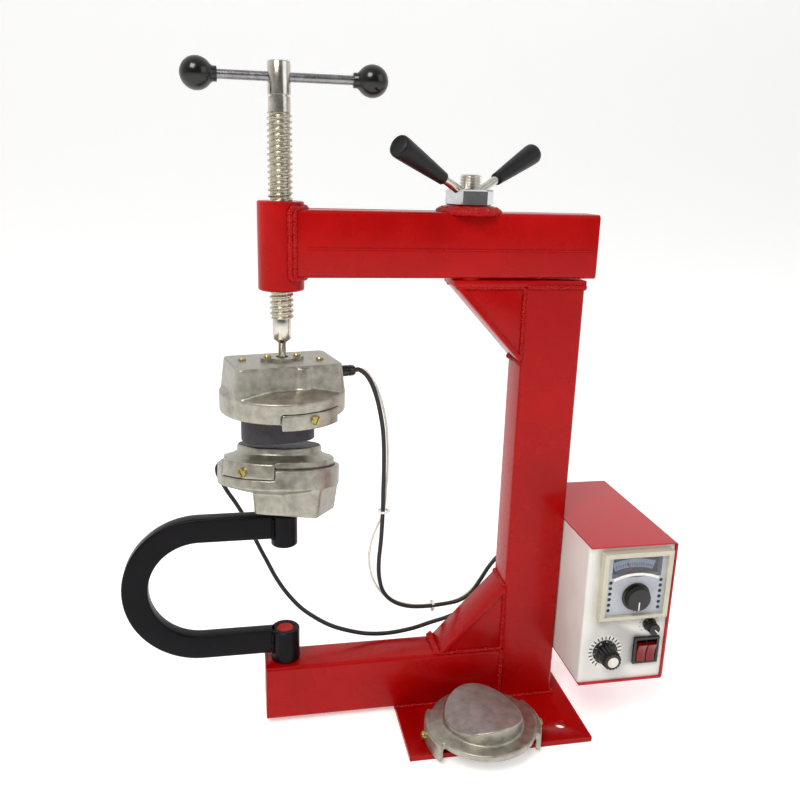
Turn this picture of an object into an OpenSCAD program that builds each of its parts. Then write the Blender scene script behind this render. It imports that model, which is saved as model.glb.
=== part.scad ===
// Bench tyre vulcanizer: a welded C-frame, a hand screw, two heated heads and a control box.
// Millimetres, +Z up. The origin is the centre of the base plate, on the floor.
// +X runs from the press towards the control box and -Y is the operator's side.

/* [Frame] */
// Tall side of the frame tube
tube_h = 60; // [50:1:70]
// Flat side of the frame tube
tube_d = 40; // [36:1:46]
// Wall of the frame tube
tube_wall = 3; // [2:0.5:4]
// Width of the base plate
plate_w = 190; // [180:1:220]
// Depth of the base plate
plate_d = 194; // [180:1:220]
// Thickness of the base plate
plate_t = 6; // [4:1:10]
// Spacing of the foot holes, left to right
foot_x = 140; // [130:1:160]
// Spacing of the foot holes, front to back
foot_y = 146; // [130:1:160]
// Diameter of the foot holes
foot_hole = 11; // [8:0.5:13]
// Left face of the column
column_x = 19; // [10:1:25]
// Height of the column
column_h = 448; // [430:1:480]
// Length of the lower arm past the swing pin's axis
pin_past = 21; // [18:1:24]
// Foot of a gusset along its arm
gusset_x = 68; // [60:1:80]
// Height of a gusset on the column
gusset_z = 74; // [60:1:80]
// Thickness of a gusset's sloping plate
gusset_t = 5; // [3:0.5:7]
// Thickness of the top plate
top_plate_t = 6; // [5:1:10]

/* [Press] */
// Axis of the press screw, left of the base plate's centre
press_x = -209; // [-215:1:-200]
// Right end of the upper arm
arm_end = 88; // [84:1:110]
// Outer diameter of the screw's sleeve
sleeve_d = 42; // [36:1:46]
// Length of the sleeve above the arm
sleeve_up = 6.5; // [3:0.5:12]
// Length of the sleeve below the arm
sleeve_down = 12.5; // [6:0.5:16]
// Outer diameter of the screw's thread
thread_d = 22; // [20:1:24]
// Pitch of the thread
thread_pitch = 5; // [4:0.5:6]
// Length of the thread
thread_l = 179; // [170:1:190]
// Diameter of the screw's head
screw_head_d = 20; // [18:0.5:20]
// Height of the screw's head
screw_head_h = 42; // [38:1:50]
// Diameter of the plain end of the screw
screw_end_d = 17; // [14:0.5:18]
// Length of the plain end of the screw
screw_end_l = 20; // [15:1:25]
// Diameter of the screw's neck
neck_d = 7; // [6:0.5:8]
// Length of the neck over the ball's centre
neck_l = 29; // [24:1:32]
// Diameter of the screw's ball end
ball_d = 14; // [12:0.5:16]
// Diameter of the handle bar
bar_d = 8; // [6:0.5:10]
// Distance between the middles of the bar's knobs
bar_l = 150; // [140:1:180]
// How far the bar is pushed to the right
bar_shift = 6; // [0:1:10]
// Diameter of the bar's knobs
knob_d = 28; // [26:1:34]

/* [Clamp] */
// Axis of the upper arm's pivot
pivot_x = -35; // [-37:1:-28]
// Diameter of the pivot stud
stud_d = 20; // [18:1:24]
// Outer diameter of the pivot bush
bush_d = 36; // [32:1:38]
// Width of the welded collar at the arm
collar_d = 58; // [50:1:60]
// Height of the welded collar
collar_h = 5.5; // [5:0.5:10]
// Width of the clamp nut across its corners
nut_d = 46; // [44:1:50]
// Height of the clamp nut
nut_h = 14.5; // [13:0.5:17]
// Length of the pivot stud past the nut
stud_past = 13; // [8:0.5:16]
// Diameter of a lever rod
rod_d = 8; // [6:0.5:9]
// Length of a lever rod from the pivot's axis
rod_l = 60; // [54:1:66]
// Length of a grip
grip_l = 64; // [58:1:72]
// Diameter of a grip at its inner end
grip_d1 = 12; // [11:0.5:14]
// Diameter of a grip at its outer end
grip_d2 = 20; // [16:0.5:24]
// Rise of the levers, degrees
lever_rise = 24; // [20:1:32]
// Turn of the levers from the arm, degrees
lever_turn = 35; // [20:1:50]

/* [Swing arm] */
// Height of the bent bar's section
limb_h = 25; // [20:1:28]
// Depth of the bent bar's section
limb_d = 15; // [12:1:18]
// Distance between the two limbs, middle to middle
limb_gap = 127; // [120:1:140]
// Length of the straight limbs from the axis
limb_l = 82; // [75:1:95]
// Diameter of the upper boss
boss_up_d = 26; // [25:1:30]
// Height of the upper boss
boss_up_h = 33; // [28:1:36]
// Diameter of the lower boss
boss_low_d = 29; // [28:1:33]
// Height of the lower boss
boss_low_h = 35; // [30:1:40]
// Diameter of the swing arm's pin
pin_d = 18; // [15:0.5:20]
// Diameter of the lower head's stud
head_stud_d = 16; // [14:0.5:17]

/* [Heads] */
// Diameter of a head's round skirt
skirt_d = 118; // [112:1:124]
// Height of the skirt
skirt_h = 19; // [17:0.5:19.5]
// Wall of the skirt
skirt_wall = 5; // [4:0.5:6]
// Diameter at the top of the sloping shoulder
shoulder_d = 80; // [74:1:90]
// Height of the sloping shoulder
shoulder_h = 6; // [4:0.5:8]
// Height of a head's casting
head_h = 46.5; // [45:0.5:52]
// Length of the upper casting's block
block_l = 106; // [100:1:110]
// Length of the lower casting's shorter block
lower_block_l = 70; // [66:1:80]
// Width of the castings' blocks
block_w = 70; // [66:1:76]
// Corner radius of the block
block_r = 9; // [7:0.5:14]
// Draft of the block on each side
block_draft = 3.5; // [2:0.5:5]
// Wall of the block
block_wall = 6; // [5:0.5:8]
// Thickness of the heat plate
heat_t = 12; // [10:0.5:12.5]
// Thickness of the heater disc
heater_t = 3; // [2:0.5:3]
// Diameter of the heater disc
heater_d = 88; // [80:1:96]
// Turn of the upper head, degrees
upper_turn = 12; // [0:1:40]
// Turn of the lower head, degrees
lower_turn = 157; // [140:1:170]
// Lean of the lower head on its ball, degrees
lower_lean = 12.5; // [0:0.5:13]
// Way of the lean from the right towards the back, degrees
lean_turn = 77; // [0:1:90]
// Gap under the lower head, which lets it lean
lean_gap = 3.5; // [3.2:0.1:5]
// How far the lower casting's ball socket stands off its middle
socket_off = 6; // [0:0.5:8]

/* [Dies] */
// Thickness of a die's flange
flange_t = 7; // [6:0.5:9]
// Sweep of a die's lug, degrees
lug_arc = 60; // [50:1:75]
// Height of a lug along the skirt
lug_h = 9; // [8:0.5:12]
// Diameter of the upper die's post
upper_post_d = 69; // [66:1:76]
// How far the upper die's post stands off the middle
upper_post_off = 5; // [0:0.5:5]
// Height of the upper die's post, which has no flange
upper_post_h = 29; // [27:0.5:36]
// Diameter of the lower die's post
lower_post_d = 82; // [74:1:86]
// Height of the lower die's post
lower_post_h = 11.5; // [10:0.5:14]
// Diameter of the spare die's post
spare_post_d = 79; // [70:1:84]
// Height of the spare die's post
spare_post_h = 17; // [15:0.5:22]
// Height of the spare die's lugs
spare_lug_h = 13; // [9:0.5:16]
// Gap between the two dies as the press stands
die_gap = 0.6; // [0.4:0.1:3]
// Radius of the upper die's convex face
upper_crest_r = 140; // [100:5:160]
// Radius of the spare die's convex face
spare_crest_r = 71; // [60:1:100]
// Rest of the spare die, left to right
spare_x = -17; // [-20:1:0]
// Diameter of a die screw's shank
die_screw_d = 5; // [4:0.5:6]

/* [Control box] */
// Width of the box
box_w = 91; // [90:1:100]
// Depth of the box
box_d = 165; // [160:1:180]
// Height of the box
box_h = 152; // [150:1:165]
// Underside of the box over the floor
box_z = 61; // [50:1:80]
// Thickness of the box's sheet
sheet_t = 1.5; // [1:0.25:2]
// How far the cover stands past the front panel
lip = 3; // [1:0.5:5]
// Width of the chassis's folded edge
fold_w = 12; // [10:1:15]
// Width of the controller's bezel
bezel_w = 72; // [70:1:74]
// Width of the controller's case behind the panel
case_w = 66; // [60:1:67]
// Depth of the controller's case behind the panel
case_l = 80; // [60:1:100]
// Diameter of the controller's knob
temp_knob_d = 29; // [24:1:32]
// Diameter of the timer's knob at the panel
timer_knob_d = 26; // [22:1:28]
// Length of the timer's knob
timer_knob_l = 20; // [16:1:24]
// Diameter of the small knob
trim_knob_d = 14; // [12:1:16]
// Diameter of the knobs' shafts
shaft_d = 6; // [5:0.5:6]
// Width of the switch's bezel
switch_w = 27; // [26:1:30]
// Height of the switch's bezel
switch_h = 29; // [27:1:30]

/* [Leads] */
// Diameter of the heater leads
lead_d = 4.5; // [4:0.5:6]
// Diameter of the sensor lead
sensor_d = 2.4; // [2:0.1:3]
// Diameter of a cable gland
gland_d = 11; // [10.5:0.5:13]
// Length of a cable gland past the casting
gland_l = 18; // [14:1:20]

/* [Fits] */
// Radial running clearance of a pin or shaft
running = 0.06; // [0.03:0.01:0.1]
// Radial clearance of a piece that is pressed or welded in
seated = 0.02; // [0.01:0.01:0.05]
// Gap between pieces that move past each other
free_gap = 0.4; // [0.3:0.05:0.6]

/* [Hidden] */
$fn = 64;
hull_fn = 32;
overcut = 1;

low_top = plate_t + tube_h;
column_top = plate_t + column_h;
column_right = column_x + tube_h;
seat_z = column_top + top_plate_t;
arm_gap = 1.5;
arm_z = seat_z + arm_gap;
arm_top = arm_z + tube_h;

// Heights of the stack on the swing arm
ball_drop = 9;
boss_low_z = low_top + free_gap;
boss_low_top = boss_low_z + boss_low_h;
limb_low_z = boss_low_top - limb_h / 2;
limb_up_z = limb_low_z + limb_gap;
boss_up_top = limb_up_z + limb_h / 2;
bend_r = limb_gap / 2;
lower_foot = boss_up_top + lean_gap;
lean_z = lower_foot + ball_drop;
lower_face = lower_foot + head_h;
lower_top = lower_face + flange_t + lower_post_h;
post_reach = upper_post_d / 2 + upper_post_off;
lower_crest = lean_z + (lower_top - lean_z) / cos(lower_lean) + post_reach * tan(lower_lean);
upper_crest = lower_crest + die_gap;
upper_face = upper_crest + upper_post_h;
upper_top = upper_face + head_h;

// Heights of the screw, which stands in the upper head
ball_z = upper_top - ball_drop;
screw_end_z = ball_z + neck_l;
thread_z = screw_end_z + screw_end_l;
head_z = thread_z + thread_l;
screw_top = head_z + screw_head_h;
bar_z = screw_top - 13;
thread_depth = 1.8;
knob_collar_d = 13;
knob_collar_l = 3;

// How far the levers' axes meet under the nut's top
lever_sink = 8;
collar_top = arm_top + collar_h;
nut_z = collar_top + free_gap;
nut_top = nut_z + nut_h;
stud_top = nut_top + stud_past;
lever_z = nut_top - lever_sink;
grip_start = rod_l - 18;

skirt_r = skirt_d / 2;
bore_r = skirt_r - skirt_wall;
heat_r = bore_r - free_gap;
cavity_h = heat_t + heater_t;
gland_z = head_h - 15;
gland_x = block_l / 2 + 1;
lower_gland_x = block_w / 2 + 1;
lower_gland_turn = 90;
gland_boss_d = 15;
rib_d = 24;
upper_rib_x = 12;
lower_rib_x = -24;
keeper_t = 3;
cover_shank_d = 3.2;
lug_mid = -76;
die_screw_z = 3;
die_screw_head_d = 9;
die_screw_head_l = 4;
die_screw_reach = 8;

web_t = 3;
web_inset = 2;

box_x = column_right;
box_right = box_x + box_w;
box_top = box_z + box_h;
panel_y = -box_d / 2 - 2;
back_y = panel_y + box_d;
inner_x = box_x + sheet_t;
box_bolt_d = 6;
box_bolt_zs = [box_z + 40, box_top - 40];
cover_screw_d = 4;
cover_screw_ys = [15, 62];
cover_screw_x = box_x + 8;

// Places of the controls on the front panel, as x and z
temp_at = [box_x + box_w / 2 + 3.5, box_top - 42];
temp_knob_at = [temp_at[0] + 1, temp_at[1] - 12];
pot_d = 17;
trim_gap = 5.5;
trim_at = [box_right - 20, temp_at[1] - case_w / 2 - trim_gap - pot_d / 2];
switch_gap = 6;
switch_at = [box_right - 21, trim_at[1] - pot_d / 2 - switch_gap - switch_h / 2];
timer_at = [box_x + 26, box_z + 35];
bezel_t = 8;
dial_depth = 3;
window_w = 52;
window_h = 20;
window_z = temp_at[1] + 19;
window_t = 2;
temp_knob_l = 9;
trim_knob_l = 13;
timer_case_w = 44;
timer_case_l = 34;
pot_l = 12;
switch_depth = 24;
switch_rim = 2.5;
switch_proud = 3;
rocker_gap = 1.2;
rocker_w = (switch_w - 2 * switch_rim - 3 * rocker_gap) / 2;
rocker_h = switch_h - 2 * switch_rim - 4;
rocker_pin_d = 2.4;
rocker_tilt = 9;
rocker_t = 5;
needle_l = 18;
needle_w = 0.8;
needle_lean = 30;
needle_y = panel_y;
arbor_d = 2;
arbor_l = 9;
needle_z = window_z - window_h / 2 - 2;

// Grommets in the chassis's left side, as y, z and lead diameter
grommet_lip = 2.5;
grommets = [[50, 150, lead_d], [50, 118, lead_d], [64, 150, sensor_d]];
lead_in = 12;
mains_gland_d = 14;
mains_gland_l = 14;
mains_at = [box_x + 45, box_z + 35];

// Routes of the leads, from the head's gland to the box
function turned(v, a) = [v[0] * cos(a) - v[1] * sin(a), v[0] * sin(a) + v[1] * cos(a), v[2]];
function tipped(v, a) = [v[0] * cos(a) + v[2] * sin(a), v[1], v[2] * cos(a) - v[0] * sin(a)];
function leaned(v) = turned(tipped(turned(v, -lean_turn), lower_lean), lean_turn);
upper_dir = turned([1, 0, 0], upper_turn);
lower_dir = leaned(turned([1, 0, 0], lower_turn - lower_gland_turn));
axis_at = [press_x, 0, 0];
upper_exit = axis_at + (gland_x + gland_l) * upper_dir + [0, 0, upper_face + gland_z];
lower_rise = lower_face - gland_z - lean_z;
lower_mid = turned([socket_off, 0, lower_rise], lower_turn);
lower_exit = axis_at + [0, 0, lean_z] + leaned(lower_mid) + (lower_gland_x + gland_l) * lower_dir;
sensor_side = 4.3;
sensor_exit = upper_exit + sensor_side * [-upper_dir[1], upper_dir[0], 0];

upper_route = [
    upper_exit,
    upper_exit + 5 * upper_dir,
    [-126, 18, 362],
    [-120, 19, 352],
    [-114.5, 20.5, 337],
    [-110.5, 22.5, 321],
    [-107, 25, 302],
    [-105, 28, 280],
    [-104, 31, 254],
    [-104, 32, 230],
    [-104, 32, 210],
    [-105, 32, 180],
    [-107, 32, 152],
    [-106, 32, 132],
    [-101, 32, 115],
    [-90, 32, 103],
    [-74, 32, 96],
    [-55, 32, 94],
    [-35, 32, 95],
    [-16, 32, 98],
    [-2, 32, 107],
    [8, 32, 122],
    [18, 33, 138],
    [31, 37, 149],
    [48, 45, 151],
    [64, 50, 150],
    [box_x - 2, 50, 150],
    [box_x + lead_in, 50, 150],
];
sensor_route = [
    sensor_exit,
    sensor_exit + 5 * upper_dir,
    [-126, 24, 365],
    [-117, 25, 353],
    [-110, 27, 337],
    [-105.5, 29, 321],
    [-102, 31, 302],
    [-100, 34, 280],
    [-99, 37, 254],
    [-100, 38, 231],
    [-102, 38, 208],
    [-113, 37, 180],
    [-117, 37, 155],
    [-113, 37, 131],
    [-101, 38, 110],
    [-85, 39, 99],
    [-66, 39, 93],
    [-45, 39, 92],
    [-22, 39, 94],
    [-4, 39, 103],
    [9, 40, 119],
    [20, 42, 134],
    [34, 48, 145],
    [50, 58, 150],
    [64, 63, 150],
    [box_x - 2, 64, 150],
    [box_x + lead_in, 64, 150],
];
lower_route = [
    lower_exit,
    lower_exit + 10 * lower_dir,
    [-190, 80, 231],
    [-200, 92, 237],
    [-222, 95, 246],
    [-246, 88, 255],
    [-264, 79, 258],
    [-273, 73, 254],
    [-274, 72, 246],
    [-270, 74, 235],
    [-264, 74, 223],
    [-257, 73, 212],
    [-249, 71, 198],
    [-241, 66, 182],
    [-233, 60, 165],
    [-225, 54, 150],
    [-216, 48, 133],
    [-205, 42, 117],
    [-191, 36, 102],
    [-176, 30, 92],
    [-160, 25, 84],
    [-142, 22, 78],
    [-120, 22, 72],
    [-96, 23, 70],
    [-70, 25, 72],
    [-48, 28, 76],
    [-26, 28, 82],
    [-4, 29, 91],
    [18, 33, 102],
    [38, 42, 112],
    [58, 49, 117],
    [box_x - 2, 50, 118],
    [box_x + lead_in, 50, 118],
];

// Shapes that repeat

// A flat profile drawn in X and Z, made a given depth thick about Y = 0
module upright(depth) {
    rotate([90, 0, 0])
        linear_extrude(height = depth, center = true)
            children();
}

// A cylinder that points along -Y, with its foot at a place on the front panel
module on_panel(at, y) {
    translate([at[0], y, at[1]])
        rotate([90, 0, 0])
            children();
}

// A sector of a ring between two radii and two heights, its middle at an angle
module sector(r1, r2, z1, z2, mid, sweep) {
    rotate([0, 0, mid - sweep / 2])
        rotate_extrude(angle = sweep)
            translate([r1, z1])
                square([r2 - r1, z2 - z1]);
}

// Puts a head, drawn with its open side at z = 0, over the work
module at_upper() {
    translate([press_x, 0, upper_face])
        rotate([0, 0, upper_turn])
            children();
}

// Puts the same head upside down on the swing arm, leaning on its ball
module at_lower() {
    translate([press_x, 0, lean_z])
        rotate([0, 0, lean_turn])
            rotate([0, lower_lean, 0])
                rotate([0, 0, lower_turn - lean_turn])
                    translate([socket_off, 0, lower_face - lean_z])
                        rotate([180, 0, 0])
                            children();
}

// Puts the spare die, drawn as on the upper head, on its lugs on the base plate
module at_spare() {
    translate([spare_x, -tube_d / 2 - 1 - skirt_r, plate_t + spare_lug_h])
        rotate([0, 0, lug_mid])
            rotate([180, 0, 0])
                children();
}

// Frame

module base_plate() {
    color("firebrick")
        difference() {
            translate([-plate_w / 2, -plate_d / 2, 0])
                cube([plate_w, plate_d, plate_t]);
            for (sx = [-1, 1], sy = [-1, 1])
                translate([sx * foot_x / 2, sy * foot_y / 2, -overcut])
                    cylinder(d = foot_hole, h = plate_t + 2 * overcut);
        }
}

// The arm is a tube with its free end closed; the swing pin drops through its top wall
module lower_arm() {
    arm_reach = column_x - press_x + pin_past;
    color("firebrick")
        difference() {
            translate([column_x - arm_reach, -tube_d / 2, plate_t])
                cube([arm_reach, tube_d, tube_h]);
            translate([column_x - arm_reach + tube_wall, -tube_d / 2 + tube_wall, plate_t + tube_wall])
                cube([arm_reach, tube_d - 2 * tube_wall, tube_h - 2 * tube_wall]);
            translate([press_x, 0, low_top - tube_wall - overcut])
                cylinder(r = pin_d / 2 + seated, h = tube_wall + 2 * overcut);
        }
}

module column() {
    color("firebrick")
        difference() {
            translate([column_x, -tube_d / 2, plate_t])
                cube([tube_h, tube_d, column_h]);
            translate([column_x + tube_wall, -tube_d / 2 + tube_wall, plate_t - overcut])
                cube([tube_h - 2 * tube_wall, tube_d - 2 * tube_wall, column_h + 2 * overcut]);
            for (z = box_bolt_zs)
                translate([column_right - tube_wall - overcut, 0, z])
                    rotate([0, 90, 0])
                        cylinder(r = box_bolt_d / 2 + seated, h = tube_wall + 2 * overcut);
        }
}

// A gusset in a corner: a sloping plate over two side webs. up is 1 over an arm and -1 under one
module gusset(corner_z, up) {
    slope = norm([gusset_x, gusset_z]);
    cut_x = gusset_t * slope / gusset_z;
    cut_z = gusset_t * slope / gusset_x;
    translate([column_x, 0, corner_z])
        scale_z(up) {
            upright(tube_d)
                polygon([[-gusset_x, 0], [0, gusset_z], [0, gusset_z - cut_z], [cut_x - gusset_x, 0]]);
            for (side = [-1, 1])
                translate([0, side * (tube_d / 2 - web_inset - web_t / 2), 0])
                    upright(web_t)
                        polygon([[cut_x - gusset_x, 0], [0, gusset_z - cut_z], [0, 0]]);
        }
}

module scale_z(up) {
    if (up > 0) {
        children();
    } else {
        mirror([0, 0, 1])
            children();
    }
}

module lower_gusset() {
    color("firebrick")
        gusset(low_top, 1);
}

module upper_gusset() {
    color("firebrick")
        gusset(column_top, -1);
}

module top_plate() {
    color("firebrick")
        difference() {
            translate([column_x - gusset_x - 2, -tube_d / 2, column_top])
                cube([gusset_x + 2 + tube_h + 1, tube_d, top_plate_t]);
            translate([pivot_x, 0, column_top - overcut])
                cylinder(r = stud_d / 2 + seated, h = top_plate_t + 2 * overcut);
        }
}

// Stud welded in the top plate, which the upper arm turns on
module pivot_stud() {
    color("silver")
        translate([pivot_x, 0, column_top])
            cylinder(d = stud_d, h = stud_top - column_top);
}

// Pin welded in the lower arm, which the swing arm turns on
module swing_pin() {
    color("firebrick")
        translate([press_x, 0, plate_t + tube_wall])
            cylinder(d = pin_d, h = boss_low_top - plate_t - tube_wall);
}

// Upper arm

module upper_arm() {
    color("firebrick")
        difference() {
            translate([press_x, -tube_d / 2, arm_z])
                cube([arm_end - press_x, tube_d, tube_h]);
            translate([press_x - overcut, -tube_d / 2 + tube_wall, arm_z + tube_wall])
                cube([arm_end - press_x - tube_wall + overcut, tube_d - 2 * tube_wall, tube_h - 2 * tube_wall]);
            translate([press_x, 0, arm_z - overcut])
                cylinder(r = sleeve_d / 2 + seated, h = tube_h + 2 * overcut);
            translate([pivot_x, 0, arm_z - overcut])
                cylinder(r = bush_d / 2 + seated, h = tube_h + 2 * overcut);
        }
}

// Sleeve welded on the arm's end; its inner thread is a plain bore that clears the screw
module screw_sleeve() {
    color("firebrick")
        translate([press_x, 0, arm_z - sleeve_down])
            difference() {
                cylinder(d = sleeve_d, h = sleeve_down + tube_h + sleeve_up);
                translate([0, 0, -overcut])
                    cylinder(r = thread_d / 2 + free_gap, h = sleeve_down + tube_h + sleeve_up + 2 * overcut);
            }
}

// Bush welded through the arm, with a sloping collar of weld on top
module pivot_bush() {
    bush_z = seat_z + free_gap;
    color("firebrick")
        translate([pivot_x, 0, 0])
            difference() {
                union() {
                    translate([0, 0, bush_z])
                        cylinder(d = bush_d, h = collar_top - bush_z);
                    translate([0, 0, arm_top])
                        cylinder(d1 = collar_d, d2 = nut_d, h = collar_h);
                }
                translate([0, 0, bush_z - overcut])
                    cylinder(r = stud_d / 2 + running, h = collar_top - bush_z + 2 * overcut);
            }
}

// Points a shape drawn along +Z along one of the two clamp levers
module levers() {
    for (turn = [lever_turn, lever_turn + 180])
        translate([pivot_x, 0, lever_z])
            rotate([0, 0, turn])
                rotate([0, 90 - lever_rise, 0])
                    children();
}

module clamp_nut() {
    color("silver")
        difference() {
            translate([pivot_x, 0, nut_z])
                cylinder(d = nut_d, h = nut_h, $fn = 6);
            translate([pivot_x, 0, nut_z - overcut])
                cylinder(r = stud_d / 2 + running, h = nut_h + 2 * overcut);
            levers()
                translate([0, 0, stud_d / 2])
                    cylinder(r = rod_d / 2 + seated, h = rod_l);
        }
}

module lever_rods() {
    rod_z = (stud_d / 2 + free_gap) / cos(lever_rise) + rod_d / 2 * tan(lever_rise);
    color("silver")
        levers()
            translate([0, 0, rod_z])
                cylinder(d = rod_d, h = rod_l - rod_z);
}

module lever_grips() {
    tip_h = 3;
    color("black")
        levers()
            translate([0, 0, grip_start])
                difference() {
                    union() {
                        cylinder(d1 = grip_d1, d2 = grip_d2, h = grip_l - tip_h);
                        translate([0, 0, grip_l - tip_h])
                            cylinder(d1 = grip_d2, d2 = grip_d2 - 2 * tip_h, h = tip_h);
                    }
                    translate([0, 0, -overcut])
                        cylinder(r = rod_d / 2 + seated, h = rod_l - grip_start + overcut);
                }
}

// Press screw

// Half outline of the threaded stretch, one notch for each turn
function thread_outline() = [
    for (i = [0:floor(thread_l / thread_pitch) - 1], corner = [[0, 0], [0.15, 1], [0.5, 1], [0.65, 0]])
        [thread_d / 2 - (1 - corner[1]) * thread_depth, thread_z + (i + corner[0]) * thread_pitch]
];

module press_screw() {
    groove = 0.8;
    groove_up = 13;
    groove_z = head_z + groove_up;
    color("silver")
        translate([press_x, 0, 0])
            difference() {
                union() {
                    rotate_extrude()
                        polygon(concat(
                            [[0, ball_z], [neck_d / 2, ball_z], [neck_d / 2, screw_end_z - 3]],
                            [[screw_end_d / 2, screw_end_z], [screw_end_d / 2, thread_z]],
                            thread_outline(),
                            [[thread_d / 2 - thread_depth, head_z], [screw_head_d / 2, head_z]],
                            [[screw_head_d / 2, groove_z], [screw_head_d / 2 - groove, groove_z + groove]],
                            [[screw_head_d / 2, groove_z + 2 * groove], [screw_head_d / 2, screw_top - 1]],
                            [[screw_head_d / 2 - 1, screw_top], [0, screw_top]]
                        ));
                    translate([0, 0, ball_z])
                        sphere(d = ball_d);
                }
                translate([0, 0, bar_z])
                    rotate([0, 90, 0])
                        cylinder(r = bar_d / 2 + running, h = 2 * screw_head_d, center = true);
            }
}

module bar_end(side) {
    translate([press_x + bar_shift + side * bar_l / 2, 0, bar_z])
        rotate([0, -90 * side, 0])
            children();
}

module handle_bar() {
    color("silver")
        translate([press_x + bar_shift, 0, bar_z])
            rotate([0, 90, 0])
                cylinder(d = bar_d, h = bar_l, center = true);
}

module bar_knobs() {
    color("black")
        for (side = [-1, 1])
            bar_end(side)
                difference() {
                    union() {
                        sphere(d = knob_d);
                        cylinder(d = knob_collar_d, h = knob_d / 2 + knob_collar_l);
                    }
                    cylinder(r = bar_d / 2 + seated, h = knob_d);
                }
}

// Heads

// A rounded block with drafted sides, grown or shrunk by a margin
module drafted_block(long, z1, z2, margin) {
    x1 = block_r - block_l / 2 - margin;
    x2 = long - block_r - block_l / 2 + margin;
    y2 = block_w / 2 - block_r + margin;
    hull($fn = hull_fn)
        for (x = [x1, x2], y = [-y2, y2])
            translate([x, y, z1])
                cylinder(r1 = block_r, r2 = block_r - block_draft, h = z2 - z1, $fn = hull_fn);
}

// Slots in the skirt for the die's two lugs, and holes for the die screws
module lug_places() {
    for (mid = [lug_mid, lug_mid + 180])
        rotate([0, 0, mid])
            children();
}

module head_cover(long, socket_x, rib_x, gland_at, gland_turn) {
    socket_r = ball_d / 2 + free_gap;
    difference() {
        union() {
            cylinder(d = skirt_d, h = skirt_h);
            translate([0, 0, skirt_h])
                cylinder(d1 = skirt_d, d2 = shoulder_d, h = shoulder_h);
            drafted_block(long, skirt_h - 1, head_h, 0);
            rotate([0, 0, gland_turn])
                translate([gland_at - 14, 0, gland_z])
                    rotate([0, 90, 0])
                        cylinder(d = gland_boss_d, h = 14);
            for (side = [-1, 1])
                translate([rib_x, side * (block_w / 2 - rib_d / 2 + 1), skirt_h])
                    cylinder(d1 = rib_d + 3, d2 = rib_d - 3, h = head_h - skirt_h - 2);
        }
        translate([0, 0, -overcut])
            cylinder(r = bore_r, h = cavity_h + overcut);
        difference() {
            drafted_block(long, cavity_h - 1, head_h - block_wall, -block_wall);
            translate([socket_x, 0, cavity_h - 2])
                cylinder(d = ball_d + 22, h = head_h);
        }
        lug_places()
            sector(bore_r - overcut, skirt_r + overcut, -overcut, lug_h + free_gap, 0, lug_arc + 1);
        translate([socket_x, 0, head_h - ball_drop])
            sphere(r = socket_r);
        translate([socket_x, 0, head_h - ball_drop])
            cylinder(r = socket_r, h = ball_drop + overcut);
        rotate([0, 0, gland_turn])
            translate([gland_at - 16, 0, gland_z])
                rotate([0, 90, 0])
                    cylinder(r = gland_d / 2 - 2 + seated, h = 20);
    }
}

// Two screws hold the ball keeper and two stand at the block's ends
function cover_screw_spots() = [[-14, 0], [14, 0], [-36, 8], [34, -8]];

module cover_screw(head_z) {
    translate([0, 0, -block_wall + 1])
        cylinder(d = cover_shank_d, h = head_z + block_wall - 1);
    translate([0, 0, head_z])
        cylinder(d = 7, h = 2.4);
}

module head_heat_plate() {
    difference() {
        cylinder(r = heat_r, h = heat_t);
        lug_places()
            translate([heat_r - die_screw_reach, 0, die_screw_z])
                rotate([0, 90, 0])
                    cylinder(r = die_screw_d / 2 + seated, h = die_screw_reach + overcut);
    }
}

module head_heater() {
    translate([0, 0, heat_t])
        cylinder(d = heater_d, h = heater_t);
}

// Two lugs that reach up the skirt's slots, from an inner radius of the die
module die_lugs(inner_r, high) {
    difference() {
        lug_places()
            rotate([0, 0, -lug_arc / 2])
                rotate_extrude(angle = lug_arc)
                    polygon([[inner_r, 1 - flange_t], [skirt_r, 1 - flange_t], [skirt_r, high],
                             [bore_r, high], [bore_r, -free_gap], [inner_r, -free_gap]]);
        lug_places()
            translate([bore_r - overcut, 0, die_screw_z])
                rotate([0, 90, 0])
                    cylinder(r = die_screw_d / 2 + seated, h = skirt_wall + 2 * overcut);
    }
}

module die_flange(high) {
    die_lugs(heat_r - 6, high);
    translate([0, 0, -flange_t])
        cylinder(r = heat_r, h = flange_t);
}

// A post from z = 0 down, whose face is part of a lying cylinder
module convex_post(d, h, crest_r) {
    intersection() {
        translate([0, 0, -h])
            cylinder(d = d, h = h);
        translate([0, 0, crest_r - h])
            rotate([0, 90, 0])
                cylinder(r = crest_r, h = 2 * d, center = true, $fn = 96);
    }
}

module die_screws() {
    lug_places()
        rotate([0, 90, 0])
            translate([-die_screw_z, 0, 0]) {
                translate([0, 0, heat_r - die_screw_reach])
                    cylinder(d = die_screw_d, h = skirt_r - heat_r + die_screw_reach);
                translate([0, 0, skirt_r])
                    cylinder(d = die_screw_head_d, h = die_screw_head_l);
            }
}

// A gland's barrel sits on the casting's boss, with a neck through its wall
module gland(gland_at, gland_turn) {
    rotate([0, 0, gland_turn]) {
        translate([gland_at, 0, gland_z])
            rotate([0, 90, 0])
                cylinder(d = gland_d, h = gland_l);
        translate([gland_at - 12, 0, gland_z])
            rotate([0, 90, 0])
                cylinder(d = gland_d - 4, h = 12);
    }
}

module upper_cover() {
    color("darkgray")
        at_upper()
            difference() {
                head_cover(block_l, 0, upper_rib_x, gland_x, 0);
                for (at = cover_screw_spots())
                    translate([at[0], at[1], head_h - block_wall - overcut])
                        cylinder(r = cover_shank_d / 2 + seated, h = block_wall + 2 * overcut);
            }
}

module upper_heat_plate() {
    color("silver")
        at_upper()
            head_heat_plate();
}

module upper_heater() {
    color("goldenrod")
        at_upper()
            head_heater();
}

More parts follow.
